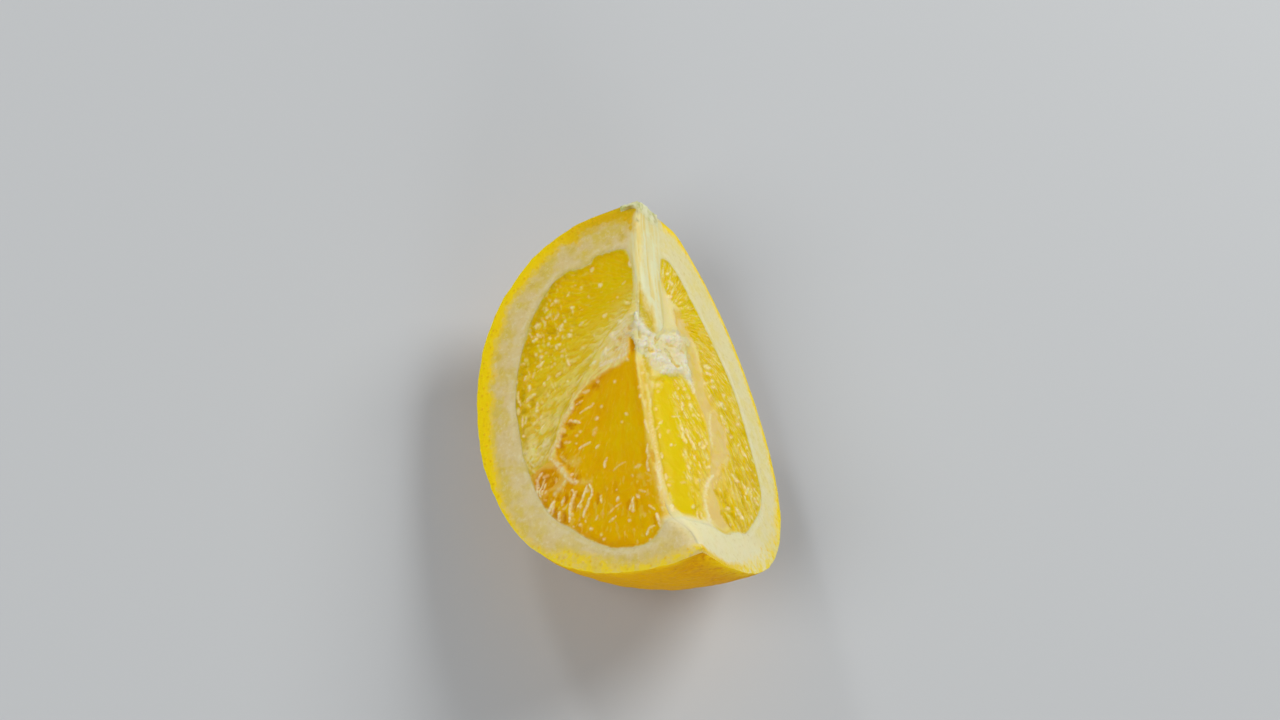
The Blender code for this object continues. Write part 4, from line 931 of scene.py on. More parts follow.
    left, la = face(u_edge, v_left, u_ridge, 0)
    right, ra = face(w_edge, v_right, np.zeros(rows + 1), 1)
    # both cuts share the ridge line
    gap = left[:, 0] - right[:, 0]
    fall = np.clip(1.0 - np.linalg.norm(right - right[:, :1], axis=-1) / 6.0, 0, 1)
    right = right + gap[:, None, :] * fall[..., None]

    # vertex numbers: the rind's grid, then the inner columns of both faces
    cols = left.shape[1]
    rind_index = np.arange((rows + 1) * (around + 1)).reshape(rows + 1, around + 1)
    rind_index[0, :], rind_index[-1, :] = rind_index[0, 0], rind_index[-1, 0]
    base = (rows + 1) * (around + 1)
    left_index = base + np.arange((rows + 1) * (cols - 1)).reshape(rows + 1, cols - 1)
    left_index = np.concatenate([left_index, rind_index[:, :1]], 1)
    left_index[0, :], left_index[-1, :] = rind_index[0, 0], rind_index[-1, 0]
    base += (rows + 1) * (cols - 1)
    right_index = base + np.arange((rows + 1) * (cols - 2)).reshape(rows + 1, cols - 2)
    right_index = np.concatenate([left_index[:, :1], right_index, rind_index[:, -1:]], 1)
    right_index[0, :], right_index[-1, :] = rind_index[0, 0], rind_index[-1, 0]
    verts = np.concatenate([p.reshape(-1, 3), left[:, :-1].reshape(-1, 3), right[:, 1:-1].reshape(-1, 3)])

    rind_faces = grid_faces(rind_index, flip=True)
    cut_faces = grid_faces(left_index, flip=True) + grid_faces(right_index)
    faces = rind_faces + cut_faces
    slots = [0] * len(rind_faces) + [1] * len(cut_faces)
    edge = np.exp(-np.minimum(ph + HALF, HALF - ph) * 38.0 * np.sin(th) / 0.35)
    side_on = np.minimum(HALF - ph, 1.8 * (ph + HALF)) * 36.0 * np.sin(th)
    edge = np.maximum(edge, 0.95 * np.exp(-((side_on / 1.9) ** 1.5)) * smooth(th, 2.2, 2.6) * smooth(0.5 + fbm(p / 1.2, 3, seed=13), 0.1, 0.6))
    attributes = {k: np.concatenate([np.zeros(edge.size), la[k][:, :-1].ravel(), ra[k][:, 1:-1].ravel()]) for k in la}
    attributes["side"][: edge.size] = ((ph + HALF) / WEDGE_ANGLE).ravel()
    attributes["edge"] = np.concatenate([edge.ravel(), np.zeros(len(verts) - edge.size)])
    used = np.zeros(len(verts), bool)
    used[[v for f in faces for v in f]] = True
    renumber = np.cumsum(used) - 1
    faces = [[int(renumber[v]) for v in f] for f in faces]
    return mesh_object("peel", verts[used], faces, {k: v[used] for k, v in attributes.items()}, (RIND, PITH), slots, sharp=50)


# ------------------------------------------------------------------ the flesh
def vesicles(x, y, focus, long, wide, radius, seed, jitter=0.85, wander=0.35):
    """Juice sacs that point at the focus: relief from 0 to 1, a tilt, the sac's random number, its border."""
    co = np.stack([x, y], -1)
    qx, qy = x - focus[0], y - focus[1]
    s = np.hypot(qx, qy) / long + 0.25 * fbm(co / 3.0, 2, seed=seed + 6)
    t = np.arctan2(qy, qx) * radius / wide + 2.0 * wander * fbm(co / 5.0, 2, seed=seed + 5)
    f1, f2, ds, dt, r1, r2, r3 = cells(s, t, seed, jitter)
    border = np.clip((f2 - f1) / 0.5, 0, 1)
    relief = 1.0 - (1.0 - border) ** 2
    tilt = (r2 - 0.5) * ds * 0.9 + (r3 - 0.5) * dt * 1.4
    return relief, tilt, r1, border


def streaks(x, y, focus, long, wide, radius, seed):
    """Fine fibres that point at the focus, from 0 to 1."""
    qx, qy = x - focus[0], y - focus[1]
    s = np.hypot(qx, qy) / long
    t = np.arctan2(qy, qx) * radius / wide
    return 0.5 + 0.5 * fbm(np.stack([s, t], -1), 3, seed=seed, gain=0.6)


def torn(x, y, focus, long, wide, radius, seed, level=0.12):
    """Uneven patches drawn out towards the focus, from 0 to 1: painted glints and pale sac wall, or dark patches with
    painted shade.
    """
    co = np.stack([x, y], -1)
    qx, qy = x - focus[0], y - focus[1]
    s = np.hypot(qx, qy) / long + 0.35 * fbm(co / 1.6, 2, seed=seed + 3)
    t = np.arctan2(qy, qx) * radius / wide + 0.5 * fbm(co / 1.9, 2, seed=seed + 4)
    return smooth(fbm(np.stack([s, t], -1), 2, seed=seed, gain=0.45), level, level + 0.30)


def sparkle(x, y):
    """Breaks the painted highlight strokes up: bright in places, faint between."""
    return 0.60 + 0.40 * smooth(noise(np.stack([x, y], -1) / 2.4, 12), -0.35, 0.25)


def membranes(x, y):
    """The soft pale strokes: how much they cover, and how white they are."""
    cover, snow = np.zeros_like(x), np.zeros_like(x)
    for white, *mark in VEILS:
        one = paint(x, y, [mark], 15, 1.7)
        snow = np.where(one > cover, white, snow)
        cover = np.maximum(cover, one)
    return cover, snow


def left_flesh(u, v, x, y, d):
    """Fields of the left face: height, then colour. x, y is the same place in the picture."""
    co = np.stack([u, v], -1)
    upper, lower, pocket = inside(u, v, UPPER_PULP), inside(u, v, LOWER_PULP), inside(u, v, POCKET_PULP)
    pulp = np.maximum(np.maximum(upper, lower), pocket)
    above = upper > np.maximum(lower, pocket)
    focus_up, focus_low = (-6.0, 14.0), (7.0, 9.0)
    pick = lambda a, b: np.where(above, a, b)
    up = vesicles(u, v, focus_up, 3.2, 1.25, 26.0, 101)
    low = vesicles(u, v, focus_low, 4.2, 1.35, 22.0, 131)
    relief, tilt, cell, border = (pick(a, b) for a, b in zip(up, low))
    bent = co + 0.9 * np.stack([fbm(co / 2.4, 2, seed=153), fbm(co / 2.4, 2, seed=155)], -1)
    fibre = pick(streaks(bent[..., 0], bent[..., 1], focus_up, 3.0, 1.0, 26.0, 151), streaks(bent[..., 0], bent[..., 1], focus_low, 3.2, 1.1, 22.0, 152))
    mask = smooth(pulp + 0.25 * fbm(co / 0.9, 2, seed=7), -0.12, 0.55)
    # lower down, the juice fades into the membrane on the ridge
    fading = smooth(-v, 6.0, 14.0) * (1 - smooth(u - ridge_u(v), 1.2, 2.8))
    mask = mix(mask, smooth(pulp + 0.5 * fbm(co / 1.1, 3, seed=12), -0.9, 1.3), fading)
    seam, along = line_distance(u, v, SEPTUM)
    reach = mix(2.4, 6.2, smooth(along, 0.15, 0.80))
    veil = np.exp(-((seam / reach) ** 1.5)) * above * mask
    streaky = smooth(fibre, 0.38, 0.62)
    pocketed = smooth(u, 21.0, 22.5) * (1 - smooth(v, -9.0, -8.0))

    # brush strokes (painted highlights, hollows with painted shade, membranes), and weaker uneven patches between them:
    # painted glints, and dark patches with painted shade
    glint = paint(x, y, GLINTS, 11, 1.3, 1.0) * sparkle(x, y)
    hollow_and_shade = paint(x, y, SHADED_HOLLOWS, 13, 1.8, 1.15) * (1 - 0.85 * glint)
    veils, snow = membranes(x, y)
    rough_up = 0.30 + 0.70 * smooth(u, 9.0, 20.0)
    rough_low = 0.12 + np.maximum(0.30 * (1 - smooth(v, -21.0, -12.0)), 0.55 * smooth(u, 16.0, 21.0))
    coarse = pick(rough_up, rough_low)
    tips = torn(u, v, (8.0, -60.0), 1.15, 0.42, 60.0, 161, 0.10)  # nearly upright near the peel
    rays = pick(torn(u, v, focus_up, 1.6, 0.50, 26.0, 163), torn(u, v, focus_low, 1.7, 0.46, 22.0, 165))
    fringe = above * smooth(u, 14.0, 19.0)
    patches = mix(rays, tips, fringe) * coarse * mask
    # dark patches: deeper juice, sunk, with painted shade
    dark = torn(u, v, focus_low, 2.0, 0.8, 22.0, 167, 0.10) * coarse * mask * (1 - glint)

    h = mask * (-0.22 + coarse * (0.13 * relief + 0.20 * tilt) + 0.22 * fbm(co / 5.0, 2, seed=4) + 0.10 * fbm(co / 1.2, 3, seed=5))
    h += mask * 0.16 * (streaky - 0.5) * np.clip(veil * 1.4 + 0.15, 0, 1)
    h += (1 - mask) * (0.10 + 0.12 * fbm(co / 1.6, 3, seed=6) + 0.10 * (streaky - 0.5)) * (1 - 0.6 * pocketed)
    h += 0.15 * glint + 0.05 * patches - 0.15 * hollow_and_shade - 0.06 * dark + 0.07 * veils

    lines = (1 - smooth(border, 0.0, 0.5)) * pick(0.08 + 0.22 * veil, 0.03) * (0.3 + 0.9 * fibre)
    pale = np.clip(veil * (0.20 + 0.90 * streaky) * (1 + 0.25 * smooth(along, 0.6, 0.9)), 0, 1) * 0.85
    pale = mask * np.maximum(np.maximum(pale, lines), 0.36 * patches)
    gap = 1 - smooth(pulp + 0.25 * fbm(co / 0.8, 2, seed=17), mix(-0.25, -0.9, fading), mix(0.3, 1.1, fading))
    pale = np.maximum(pale, gap * (0.62 + 0.38 * streaky) * (1 - 0.65 * pocketed))
    # a whiter line runs along the lower segment's side of the membrane
    brink = np.exp(-(((lower + 0.35) / 0.42) ** 2)) * smooth(u, 6.5, 9.0) * (1 - smooth(v, 4.5, 7.0)) * smooth(v, -7.0, -3.0)
    brink = brink * smooth(fbm(co / 1.3, 2, seed=18), -0.4, 0.5)
    h += 0.10 * brink
    pale = np.maximum(pale, 0.75 * brink)
    node_side = np.exp(-((np.hypot(u - 6.0, v - 9.5) / 4.5) ** 2))
    white = np.clip(0.30 * brink + 0.5 * node_side + 0.20 * fbm(co / 2.0, 2, seed=8) + 0.40 * above * smooth(along, 0.6, 0.9) * streaky, 0, 1)
    pale = np.maximum(pale * (1 - 0.85 * hollow_and_shade), veils * (0.85 + 0.3 * (fibre - 0.5)))
    white = mix(white, snow, np.clip(veils * 1.3, 0, 1))

    juice = pick(0.31 + 0.10 * (1 - smooth(upper, 0.2, 3.2)) * smooth(u, 12.0, 20.0) - 0.24 * np.exp(-seam / 4.5),
                 0.54 + 0.22 * (1 - smooth(lower, 0.2, 2.6)) * smooth(u, 9.0, 13.0) - 0.16 * np.exp(-(((v + 9.0) / 5.0) ** 2)) * smooth(18 - u, 0, 6))
    juice = juice + np.where(pocket > -0.4, 0.12, 0.0) + 0.30 * np.exp(-((np.hypot(u - 5.9, v - 6.8) / 1.3) ** 2))
    juice = juice + 0.10 * fbm(co / 4.5, 3, seed=9) + 0.12 * fbm(co / 1.4, 3, seed=10) * coarse - 0.12 * (streaky - 0.5) * coarse
    juice = juice + pick(0.10, 0.42) * hollow_and_shade + pick(0.04, 0.16) * dark - 0.10 * patches - 0.12 * glint
    # painted shade along the upper segment's outer border
    border_shade = above * (1 - smooth(upper, 0.1, 2.4)) * smooth(u, 12.0, 20.0) * (0.42 + 0.6 * fbm(co / 1.5, 2, seed=20))
    shade = np.clip(hollow_and_shade * pick(0.75, 0.50) + pick(0.30, 0.18) * dark + border_shade * (1 - glint), 0, 1) * (1 - 0.8 * veils)
    # painted highlights: the glint strokes, filled in with weaker patches
    fleck = np.maximum(glint, 0.36 * patches * smooth(fbm(co / 1.1, 2, seed=19), 0.0, 0.5))
    return h, {"juice": juice, "pale": pale, "white": white, "tan": 0.35 * node_side + 0.35 * veils * (1 - snow), "fleck": fleck, "cell": cell, "shade": shade,
               "warm": pick(0.5, 1.0) + 0.0 * u}


def right_flesh(w, v, x, y, d):
    """The same fields for the right face."""
    co = np.stack([w, v], -1)
    strip, outer, flap = inside(w, v, STRIP_PULP), inside(w, v, OUTER_PULP), inside(w, v, FLAP)
    flap = flap + 0.5 * fbm(co / 1.8, 3, seed=23)
    fingers = streaks(w, v, (4.0, 12.0), 3.4, 0.75, 22.0, 253) - 0.5
    pulp = np.maximum(strip, outer + (0.9 * fbm(co / 1.7, 3, seed=35) + 3.4 * fingers) * np.exp(-np.abs(flap) / 1.8)) + 0.35 * fbm(co / 1.1, 3, seed=25)
    inner = strip > outer
    pick = lambda a, b: np.where(inner, a, b)
    focus_in, focus_out = (0.5, 12.0), (4.0, 12.0)
    parts = vesicles(w, v, focus_in, 3.2, 0.85, 20.0, 201), vesicles(w, v, focus_out, 4.6, 1.05, 22.0, 231)
    relief, tilt, cell, border = (pick(a, b) for a, b in zip(*parts))
    fibre = pick(streaks(w, v, focus_in, 2.4, 0.42, 20.0, 251), streaks(w, v, focus_out, 2.8, 0.50, 22.0, 252))
    mask = smooth(pulp, -0.10, 0.45)
    # the strip's inner half is one smooth swollen sac wall
    edge = 5.9 + 0.9 * fbm(np.stack([w * 0, v / 2.5], -1), 2, seed=8) + 0.9 * fbm(co / 0.9, 2, seed=27)
    sleek = pick(1 - smooth(w, edge - 1.0, edge + 1.0), 0.0) * smooth(pulp, -0.3, 0.3)
    coarse = (1 - sleek) * pick(0.8, 1.0)

    # brush strokes: painted highlights, hollows with painted shade, membranes
    glint = paint(x, y, GLINTS, 11, 1.3) * sparkle(x, y)
    hollow_and_shade = paint(x, y, SHADED_HOLLOWS, 13, 1.7, 1.1) * (1 - 0.8 * glint)
    veils, snow = membranes(x, y)
    patches = pick(torn(w, v, focus_in, 1.3, 0.42, 20.0, 261), torn(w, v, focus_out, 1.9, 0.50, 22.0, 263)) * coarse * mask
    # dark patches: deeper juice, sunk, with painted shade
    dark = pick(torn(w, v, focus_in, 1.5, 0.50, 20.0, 265, 0.15), torn(w, v, focus_out, 2.2, 0.65, 22.0, 267, 0.12)) * coarse * mask * (1 - glint)

    h = mask * (-0.10 + coarse * (-0.04 + 0.11 * relief + 0.16 * tilt + 0.12 * (fibre - 0.5)) + sleek * 0.10 * smooth(strip, -0.2, 1.8)
                + 0.16 * fbm(co / 4.0, 2, seed=14) + 0.10 * fbm(co / 1.1, 3, seed=15) * (0.4 + 0.6 * coarse))
    h += (1 - mask) * (0.02 + 0.08 * fbm(co / 1.8, 3, seed=16))
    h += 0.14 * glint + 0.05 * patches - 0.14 * hollow_and_shade - 0.05 * dark + 0.06 * veils

    lower_end = smooth(-v, 6.0, 14.0)
    come_and_go = smooth(fbm(co / np.array([1.6, 3.0]), 2, seed=24), -0.35, 0.35)
    lines = (1 - smooth(border, 0.05, 0.5)) * pick(0.50, 0.10 + 0.60 * lower_end) * (0.10 + 0.90 * come_and_go)
    strokes = smooth(fibre, pick(0.48, 0.56 - 0.05 * lower_end), pick(0.60, 0.68 - 0.06 * lower_end)) * (0.05 + 0.95 * come_and_go)
    ticks = smooth(noise(np.stack([w / 2.0, v / 0.5], -1), seed=31), 0.25, 0.6) * (1 - smooth(w, 1.6, 3.4)) * 0.30
    pale = mask * np.clip(np.maximum(lines, strokes) * coarse + sleek * ticks + 0.45 * patches, 0, 1)
    blush = smooth(fbm(co / 3.2, 2, seed=18), 0.12, 0.40) * pick(0.0, 0.62) * (1 - 0.6 * lower_end) * (1 - smooth(v, 14.0, 18.0))
    pale = np.maximum(pale, blush * mask)
    between = 1 - smooth(pulp, -0.60, 0.50)
    hazy = 1 - 0.42 * smooth(flap, 0.0, 0.6) * smooth(fbm(co / 2.2, 3, seed=26), -0.1, 0.4)
    pale = np.maximum(pale, between * hazy)

    in_flap = smooth(flap, -0.2, 0.5)
    stem, along = line_distance(w, v, CURVED_LINE)
    lee = np.exp(-((stem / 1.9) ** 2)) * (1 - smooth(v, -16.5, -14.0))
    pale = np.maximum(pale, 0.80 * lee)
    deep_gap = (1 - smooth(pulp, 0.0, 1.0)) * smooth(w, 8.0, 10.5) * (1 - smooth(v, 15.0, 18.0)) * smooth(d, 0.6, 2.0)
    tan = np.clip(np.maximum(in_flap * 0.9, deep_gap * 0.9) + 0.7 * lee + 0.45 * blush, 0, 1) * (0.88 + 0.45 * fbm(co / 1.9, 3, seed=29))
    # membrane between the two faces: pale at the ridge and beside the strip, with juice between
    down = 1 - smooth(v, -23.0, -13.0)
    rib = np.exp(-(((w - 1.05) / 0.36) ** 2)) + np.exp(-(((w + 0.1) / 0.34) ** 2))
    open_juice = np.clip(1 - rib, 0, 1) * (1 - smooth(w, 0.9, 1.6)) * (1 - down) * (1 - smooth(v, 3.0, 5.5))
    pale = pale * (1 - 0.45 * open_juice)
    ribbon = (1 - smooth(w, 1.2, 2.6)) * (1 - smooth(v, 1.0, 4.0)) * (1 - 0.7 * down)
    worn = smooth(-v, 5.0, 9.0) * (1 - smooth(-v, 13.5, 16.5))
    pale = pale * (1 - (0.42 + 0.26 * worn) * ribbon * smooth(fbm(co / np.array([0.7, 2.2]), 3, seed=30), -0.35 - 0.25 * worn, 0.30))
    tan = np.maximum(tan, 0.26 * ribbon)
    white = np.clip(0.50 * in_flap * smooth(fbm(co / 2.6, 3, seed=34), -0.1, 0.4) + 0.35 * down * (1 - smooth(w, 1.2, 2.6)) + 0.34 * smooth(v, 1.0, 4.0) * (1 - smooth(w, 9.0, 12.0))
                    + 0.30 * smooth(fbm(co / 1.5, 2, seed=28), 0.0, 0.6) + 0.34 * ribbon, 0, 1)
    pale = np.maximum(pale * (1 - 0.85 * hollow_and_shade), veils * (0.85 + 0.3 * (fibre - 0.5)))
    cover = np.clip(veils * 1.3, 0, 1)
    white = mix(white, snow, cover)
    tan = mix(tan, 0.35 * (1 - snow), cover)
    h += 0.04 * np.clip(rib, 0, 1) * (1 - smooth(w, 1.2, 2.0)) * (1 - mask) - 0.16 * in_flap * (1 - mask)

    juice = pick(0.09 + 0.04 * (1 - sleek), 0.15 + 0.05 * lower_end) + 0.07 * fbm(co / 4.0, 3, seed=19) + 0.08 * fbm(co / 1.3, 3, seed=20) * coarse
    juice = juice + 0.18 * open_juice + coarse * 0.06 * (1 - relief) + 0.14 * hollow_and_shade + 0.06 * dark - 0.08 * patches
    # painted shade in the troughs between the fibres; the shade below also darkens the hollows, the dark patches and
    # the ribbon
    trough_shade = (1 - smooth(fibre, 0.34, 0.52)) * coarse * mask * pick(0.30, 0.42) * (1 - glint)
    shade = np.clip(hollow_and_shade * 0.75 + 0.36 * dark + 0.40 * ribbon + trough_shade * (1 - 0.7 * pale), 0, 1) * (1 - 0.8 * veils)
    # painted highlights: the glint strokes, filled in with weaker patches
    fleck = np.maximum(glint, pick(0.75, 0.45 + 0.30 * lower_end) * patches * smooth(fbm(co / 1.1, 2, seed=22), -0.15, 0.35))
    return h, {"juice": juice, "pale": pale, "white": white, "tan": tan, "fleck": fleck, "cell": cell * (1 - sleek) + 0.5 * sleek, "shade": shade, "warm": 0.25 * lower_end}


def flesh_height(s, v, d):
    """Both faces, blended over the ridge. The border dips under the pith."""
    left, right = s < 0.5, s > -0.5
    t = smooth(s, -0.45, 0.45)
    u = ridge_u(v) - s
    x, y = picture(on_cut(s, v, np.zeros_like(s)))
    names = ("juice", "pale", "white", "tan", "fleck", "cell", "shade", "warm")
    h, values = np.zeros_like(s), {k: np.zeros_like(s) for k in names}
    for side, fields, share in ((left, left_flesh(u[left], v[left], x[left], y[left], d[left]), 1 - t),
                                (right, right_flesh(s[right], v[right], x[right], y[right], d[right]), t)):
        h[side] += share[side] * fields[0]
        for k in names:
            values[k][side] += share[side] * fields[1][k]
    # the pith runs into the flesh over a soft edge, with a deeper line of juice and painted shade inside it
    co = np.stack([s, v], -1)
    core, foot = calm_zone(s, v)
    calm = np.maximum(foot, core)
    h = mix(0.02, h, smooth(d, 0.0, mix(0.9, 1.6, calm))) - ridge_round(s, v)
    h -= mix(0.26 * (1 - smooth(d, -0.30, 0.08)), 0.36 * (1 - smooth(d, -0.32, -0.08)), calm)
    # the groove beside the ridge: sunk, deeper juice and painted shade
    groove = paint(x, y, CORE_GROOVES, 73, 2.0)
    h -= 0.20 * groove
    inward = d + 0.30 * fbm(co / 1.0, 3, seed=91)
    brim = np.exp(-(((inward - 0.55) / 0.30) ** 2)) * smooth(np.abs(s), 1.0, 4.0) * (1 - core) * (1 - foot)
    values["juice"] += 0.10 * brim
    values["pale"] *= 1 - 0.45 * brim
    values["shade"] = np.maximum(values["shade"], 0.16 * brim)
    rim = 1 - smooth(inward, 0.0, mix(0.42, 1.8, calm))
    values["pale"] = np.maximum(values["pale"], rim)
    values["white"] = mix(values["white"], mix(0.30, 0.75, foot) + 0.20 * core, rim)
    values["tan"] = mix(values["tan"], np.maximum(0.35 * (1 - smooth(s, -2.0, 2.0)), 0.30 * core), rim)
    values["pale"] *= 1 - 0.9 * groove
    values["juice"] = mix(values["juice"], 0.35, groove)
    values["shade"] = np.maximum(values["shade"], 0.55 * groove)
    values["fleck"] *= 1 - 0.5 * rim
    return h, {k: np.clip(a, 0, 1) for k, a in values.items()}


# ------------------------------------------------------------------ the tuft of core fibres
def tuft_height(s, v, d):
    """Where the core fibres end: soft white lobes that grow out of the flesh, with furrows between them darkened by
    painted shade.
    """
    depth = inside(s, v, FLESH)
    bed, under = flesh_height(s, v, depth)
    bed = mix(-ridge_round(s, v), bed, smooth(depth, -0.30, 0.0))
    x, y = picture(on_cut(s, v, np.zeros_like(s)))
    co = np.stack([s, v], -1)
    lump, shaded_dip, groove = paint(x, y, LUMPS, 501, 1.9, 1.15), paint(x, y, SHADED_DIPS, 503, 1.6, 1.0), paint(x, y, CORE_GROOVES, 73, 2.0)
    wool = fbm(co / 0.9, 3, seed=66)
    fibre = 0.5 + 0.5 * fbm(np.stack([(s + 0.45 * v) / 0.50, (v - 0.3 * s) / 3.0], -1), 3, seed=61)
    ragged = d + 1.4 * fbm(co / 1.7, 3, seed=64)
    grown = np.maximum(smooth(ragged, -0.2, 2.2), 0.9 * lump * smooth(d, 0.0, 0.8))
    h = bed - 0.12 + grown * (0.24 + 0.46 * lump - 0.24 * shaded_dip + 0.16 * fbm(co / 2.4, 2, seed=62) + 0.14 * (fibre - 0.5) + 0.12 * wool) * (1 - 0.9 * groove)
    t = (1 - groove) * np.maximum(smooth(ragged + 0.4 * noise(co / 0.55, 65), 0.2, 1.9), 0.9 * smooth(lump, 0.15, 0.6) * smooth(d, 0.1, 0.8))
    # painted shade in the furrows: darker and more tan
    own = {"juice": 0.15 + 0.15 * shaded_dip, "pale": np.clip(0.98 - 0.40 * shaded_dip, 0, 1), "white": np.clip(0.56 + 0.52 * lump - 0.55 * shaded_dip + 0.30 * (fibre - 0.5) + 0.22 * wool, 0, 1),
           "tan": np.clip(0.20 + 0.42 * shaded_dip - 0.20 * lump - 0.15 * wool, 0, 1), "fleck": 0.0, "cell": 0.5, "shade": 0.34 * shaded_dip, "warm": 0.4}
    return h, {k: mix(under[k], own[k], t) for k in under}


# ------------------------------------------------------------------ stem button
def stem_button():
    """The wedge's share of the dried button at the stem: a lumpy cap that melts into the core."""
    rings, around, down = 44, 84, 12
    rr, ph = np.meshgrid(np.linspace(0, 1, rings + 1), np.linspace(-HALF, HALF, around + 1), indexing="ij")
    turn = (ph + HALF) / WEDGE_ANGLE
    grown = smooth(turn, 0.05, 0.75)
    reach = mix(3.8, 7.8, grown) + 0.40 * np.cos(9.0 * ph + 0.6) * np.sin(math.pi * turn)
    rad = rr * reach
    px, pz = rad * np.sin(ph), -rad * np.cos(ph)
    co = np.stack([px, pz], -1)
    theta = rad / 34.0
    for _ in range(4):
        theta = np.arcsin(np.clip(rad / fruit_radius(theta, ph), 0, 1))
    peel = fruit_radius(theta, ph) * np.cos(theta)
    body = 34.30 + 0.20 * np.sin(rad * 1.1) + 0.45 * fbm(co / 1.3, 3, seed=41)
    rim = 1 - smooth(rr, 0.82, 1.0) ** 1.5
    cap = mix(peel + 0.55 + 0.18 * fbm(co / 0.9, 2, seed=42), np.maximum(body, peel + 0.15), grown)
    top = mix(peel - 0.7, cap, rim)
    # proud of the cut faces at the top, sunk into them lower down, so that no line shows under it
    out = (N_LEFT * (1 - smooth(turn, 0, 0.25))[..., None] + np.array([math.cos(HALF), 0, math.sin(HALF)]) * smooth(turn, 0.75, 1)[..., None])
    deep = mix(3.8, mix(1.2, 5.0, grown), smooth(rr, 0.0, 0.25))
    left_part = (1 - grown) * smooth(rr, 0.08, 0.25)
    layers, root, valley_shade = [], [], []
    for k in range(down + 1):
        t = k / down
        y = top - t * deep
        lumps = noise(np.stack([rad / 1.15, y / 0.95], -1), seed=43)
        proud = (0.22 + 0.34 * lumps) * (1 - smooth(t, mix(0.22, 0.6, left_part), mix(0.66, 0.95, left_part))) * rim
        proud = proud - 0.9 * smooth(t, mix(0.42, 0.8, left_part), 1.0) - 0.35 * (1 - rim)
        layer = np.stack([px, y, pz], -1) + proud[..., None] * out
        layer += (ridge_u(y) * np.clip(1 - rad / DISH_WIDTH, 0, 1) ** DISH_POWER)[..., None] * L
        layer[0] = np.array([0.0, y[0].mean(), 0.0]) + float(ridge_u(y[0].mean())) * L + proud[0].mean() / math.sin(HALF) * np.array([0.0, 0.0, 1.0])
        layers.append(layer)
        root.append(smooth(t + 0.10 * (1 - rr), 0.30, 0.70) * (1 - left_part))
        # painted shade: olive under the rim on the left, darker between the lumps
        olive = left_part * smooth(t, 0.30, 0.50) * np.exp(-(((rr - 0.42) / 0.30) ** 2))
        valley_shade.append(np.clip(olive + 0.45 * grown * smooth(-lumps, 0.05, 0.45) * (1 - smooth(t, 0.3, 0.6)), 0, 1))
    verts, index, base = [], [], 0
    n = top.size
    for layer in (layers[0], layers[-1]):
        i = base + np.arange(n).reshape(top.shape)
        i[0, :] = i[0, 0]
        index.append(i)
        verts.append(layer.reshape(-1, 3))
        base += n
    faces = grid_faces(index[0]) + grid_faces(index[1], flip=True)
    values = {"root": [root[0].ravel(), root[-1].ravel()], "valley_shade": [valley_shade[0].ravel(), valley_shade[-1].ravel()]}
    # the walls: the outer edge and both cut sides, row by row from the top to the foot
    for wall, flip in ((lambda a: a[-1], True), (lambda a: a[:, 0], True), (lambda a: a[:, -1], False)):
        rows = [wall(index[0])]
        m = len(rows[0])
        for k in range(1, down):
            rows.append(base + np.arange(m))
            verts.append(wall(layers[k]))
            values["root"].append(wall(root[k]))
            values["valley_shade"].append(wall(valley_shade[k]))
            base += m
        rows.append(wall(index[1]))
        faces += grid_faces(np.array(rows), flip=flip)
    obj = mesh_object("button", np.concatenate(verts), faces, {k: np.concatenate(a) for k, a in values.items()}, (BUTTON,))
    bm = bmesh.new()
    bm.from_mesh(obj.data)
    bmesh.ops.remove_doubles(bm, verts=bm.verts, dist=2e-6)
    bmesh.ops.delete(bm, geom=[q for q in bm.verts if not q.link_faces], context="VERTS")
    bmesh.ops.recalc_face_normals(bm, faces=bm.faces)
    bm.to_mesh(obj.data)
    bm.free()
    obj.data.set_sharp_from_angle(angle=math.radians(60))
    return obj


skin()
slab("flesh", FLESH, 0.160, flesh_height, 2.2, materials=(PULP,))
slab("core_tuft", NODE, 0.15, tuft_height, 1.0, materials=(TUFT,))
stem_button()


# ------------------------------------------------------------------ floor, light, camera
def floor():
    mesh = bpy.data.meshes.new("floor")
    s = 1.5
    mesh.from_pydata([(-s, -s, 0), (s, -s, 0), (s, s, 0), (-s, s, 0)], [], [(0, 1, 2, 3)])
    mat, nodes, links, shader = material("pale_floor")
    shader.inputs["Base Color"].default_value = (0.52, 0.54, 0.56, 1.0)
    shader.inputs["Roughness"].default_value = 0.85
    mesh.materials.append(mat)
    obj = link(bpy.data.objects.new("floor", mesh))


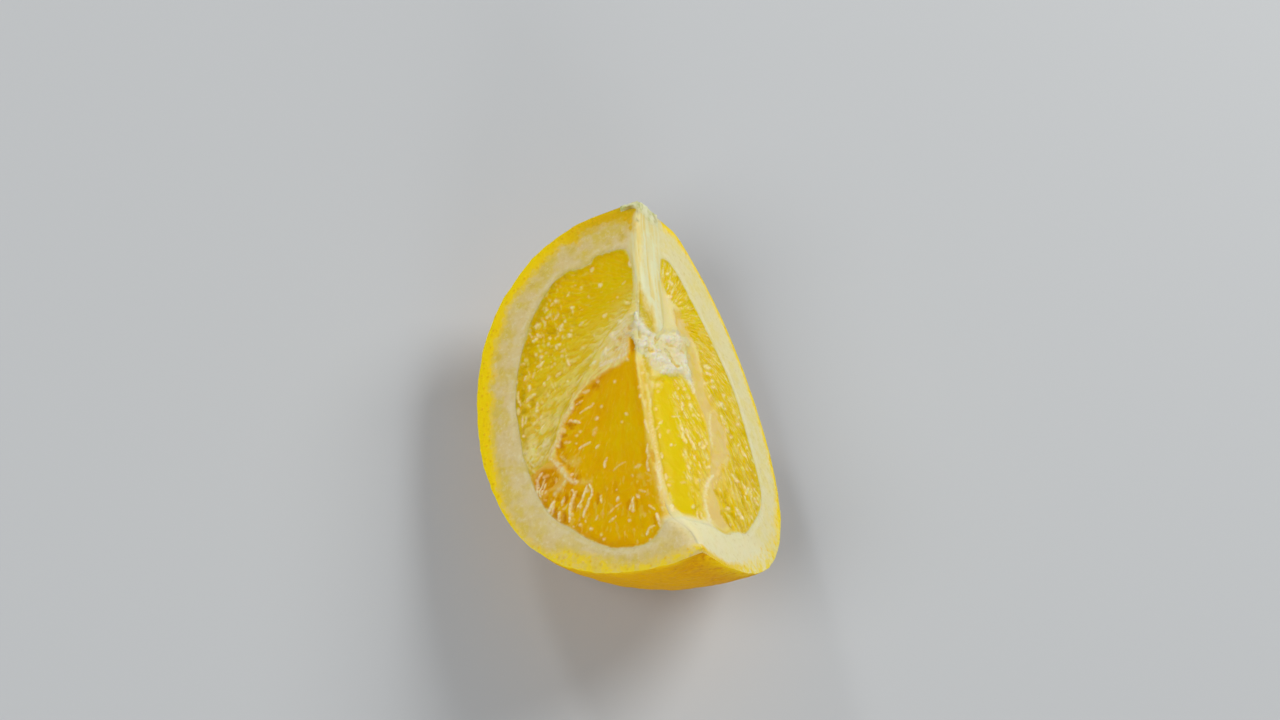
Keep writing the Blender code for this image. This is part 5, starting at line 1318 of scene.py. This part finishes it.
def area_light(name, direction, distance, size, power, colour=(1, 1, 1)):
    """A soft box in a direction given in the fruit's own axes, aimed at the wedge."""
    lamp = bpy.data.lights.new(name, "AREA")
    lamp.shape = "DISK"
    lamp.size = size
    lamp.energy = power
    lamp.color = colour
    obj = link(bpy.data.objects.new(name, lamp))
    d = Vector(TURN @ np.array(direction)).normalized()
    aim = Vector((0, 0, 0.02))
    obj.location = aim + d * distance
    obj.rotation_mode = "QUATERNION"
    obj.rotation_quaternion = d.to_track_quat("Z", "Y")
    return obj


def lights():
    area_light("key", (0.70, 0.40, 0.75), 0.9, 0.45, 5.75, (1.0, 0.985, 0.95))
    area_light("fill", (-0.75, -0.35, 0.65), 1.0, 0.6, 4.6, (1.0, 0.99, 0.97))
    area_light("front", (0.10, -0.95, 0.12), 0.9, 0.5, 2.5, (1.0, 0.99, 0.97))
    area_light("top", (-0.45, 0.78, 0.50), 0.8, 0.12, 1.3, (1.0, 0.97, 0.93))
    w = bpy.data.worlds.new("world")
    bpy.context.scene.world = w
    w.use_nodes = True
    w.node_tree.nodes["Background"].inputs["Color"].default_value = (0.80, 0.86, 0.95, 1.0)
    w.node_tree.nodes["Background"].inputs["Strength"].default_value = 0.14


def camera():
    """The photograph's view: half a metre off, from the front left and above."""
    cam = bpy.data.cameras.new("camera")
    cam.sensor_width = 36.0
    cam.lens = FOCAL / 1280.0 * 36.0
    cam.shift_x = -(CENTRE[0] - 640.0) / 1280.0
    cam.shift_y = (CENTRE[1] - 360.0) / 1280.0
    cam.clip_start, cam.clip_end = 0.01, 20.0
    cam.dof.use_dof = False
    obj = link(bpy.data.objects.new("camera", cam))
    turn = np.stack([TURN @ ACROSS, TURN @ UP, TURN @ BACK], 1)
    place = world((BACK * CAMERA_DISTANCE)[None])[0]
    obj.matrix_world = Matrix([[*turn[0], place[0]], [*turn[1], place[1]], [*turn[2], place[2]], [0, 0, 0, 1]])
    bpy.context.scene.camera = obj


floor()
lights()
camera()
bpy.context.scene.view_settings.view_transform = "Standard"
bpy.context.scene.view_settings.look = "None"
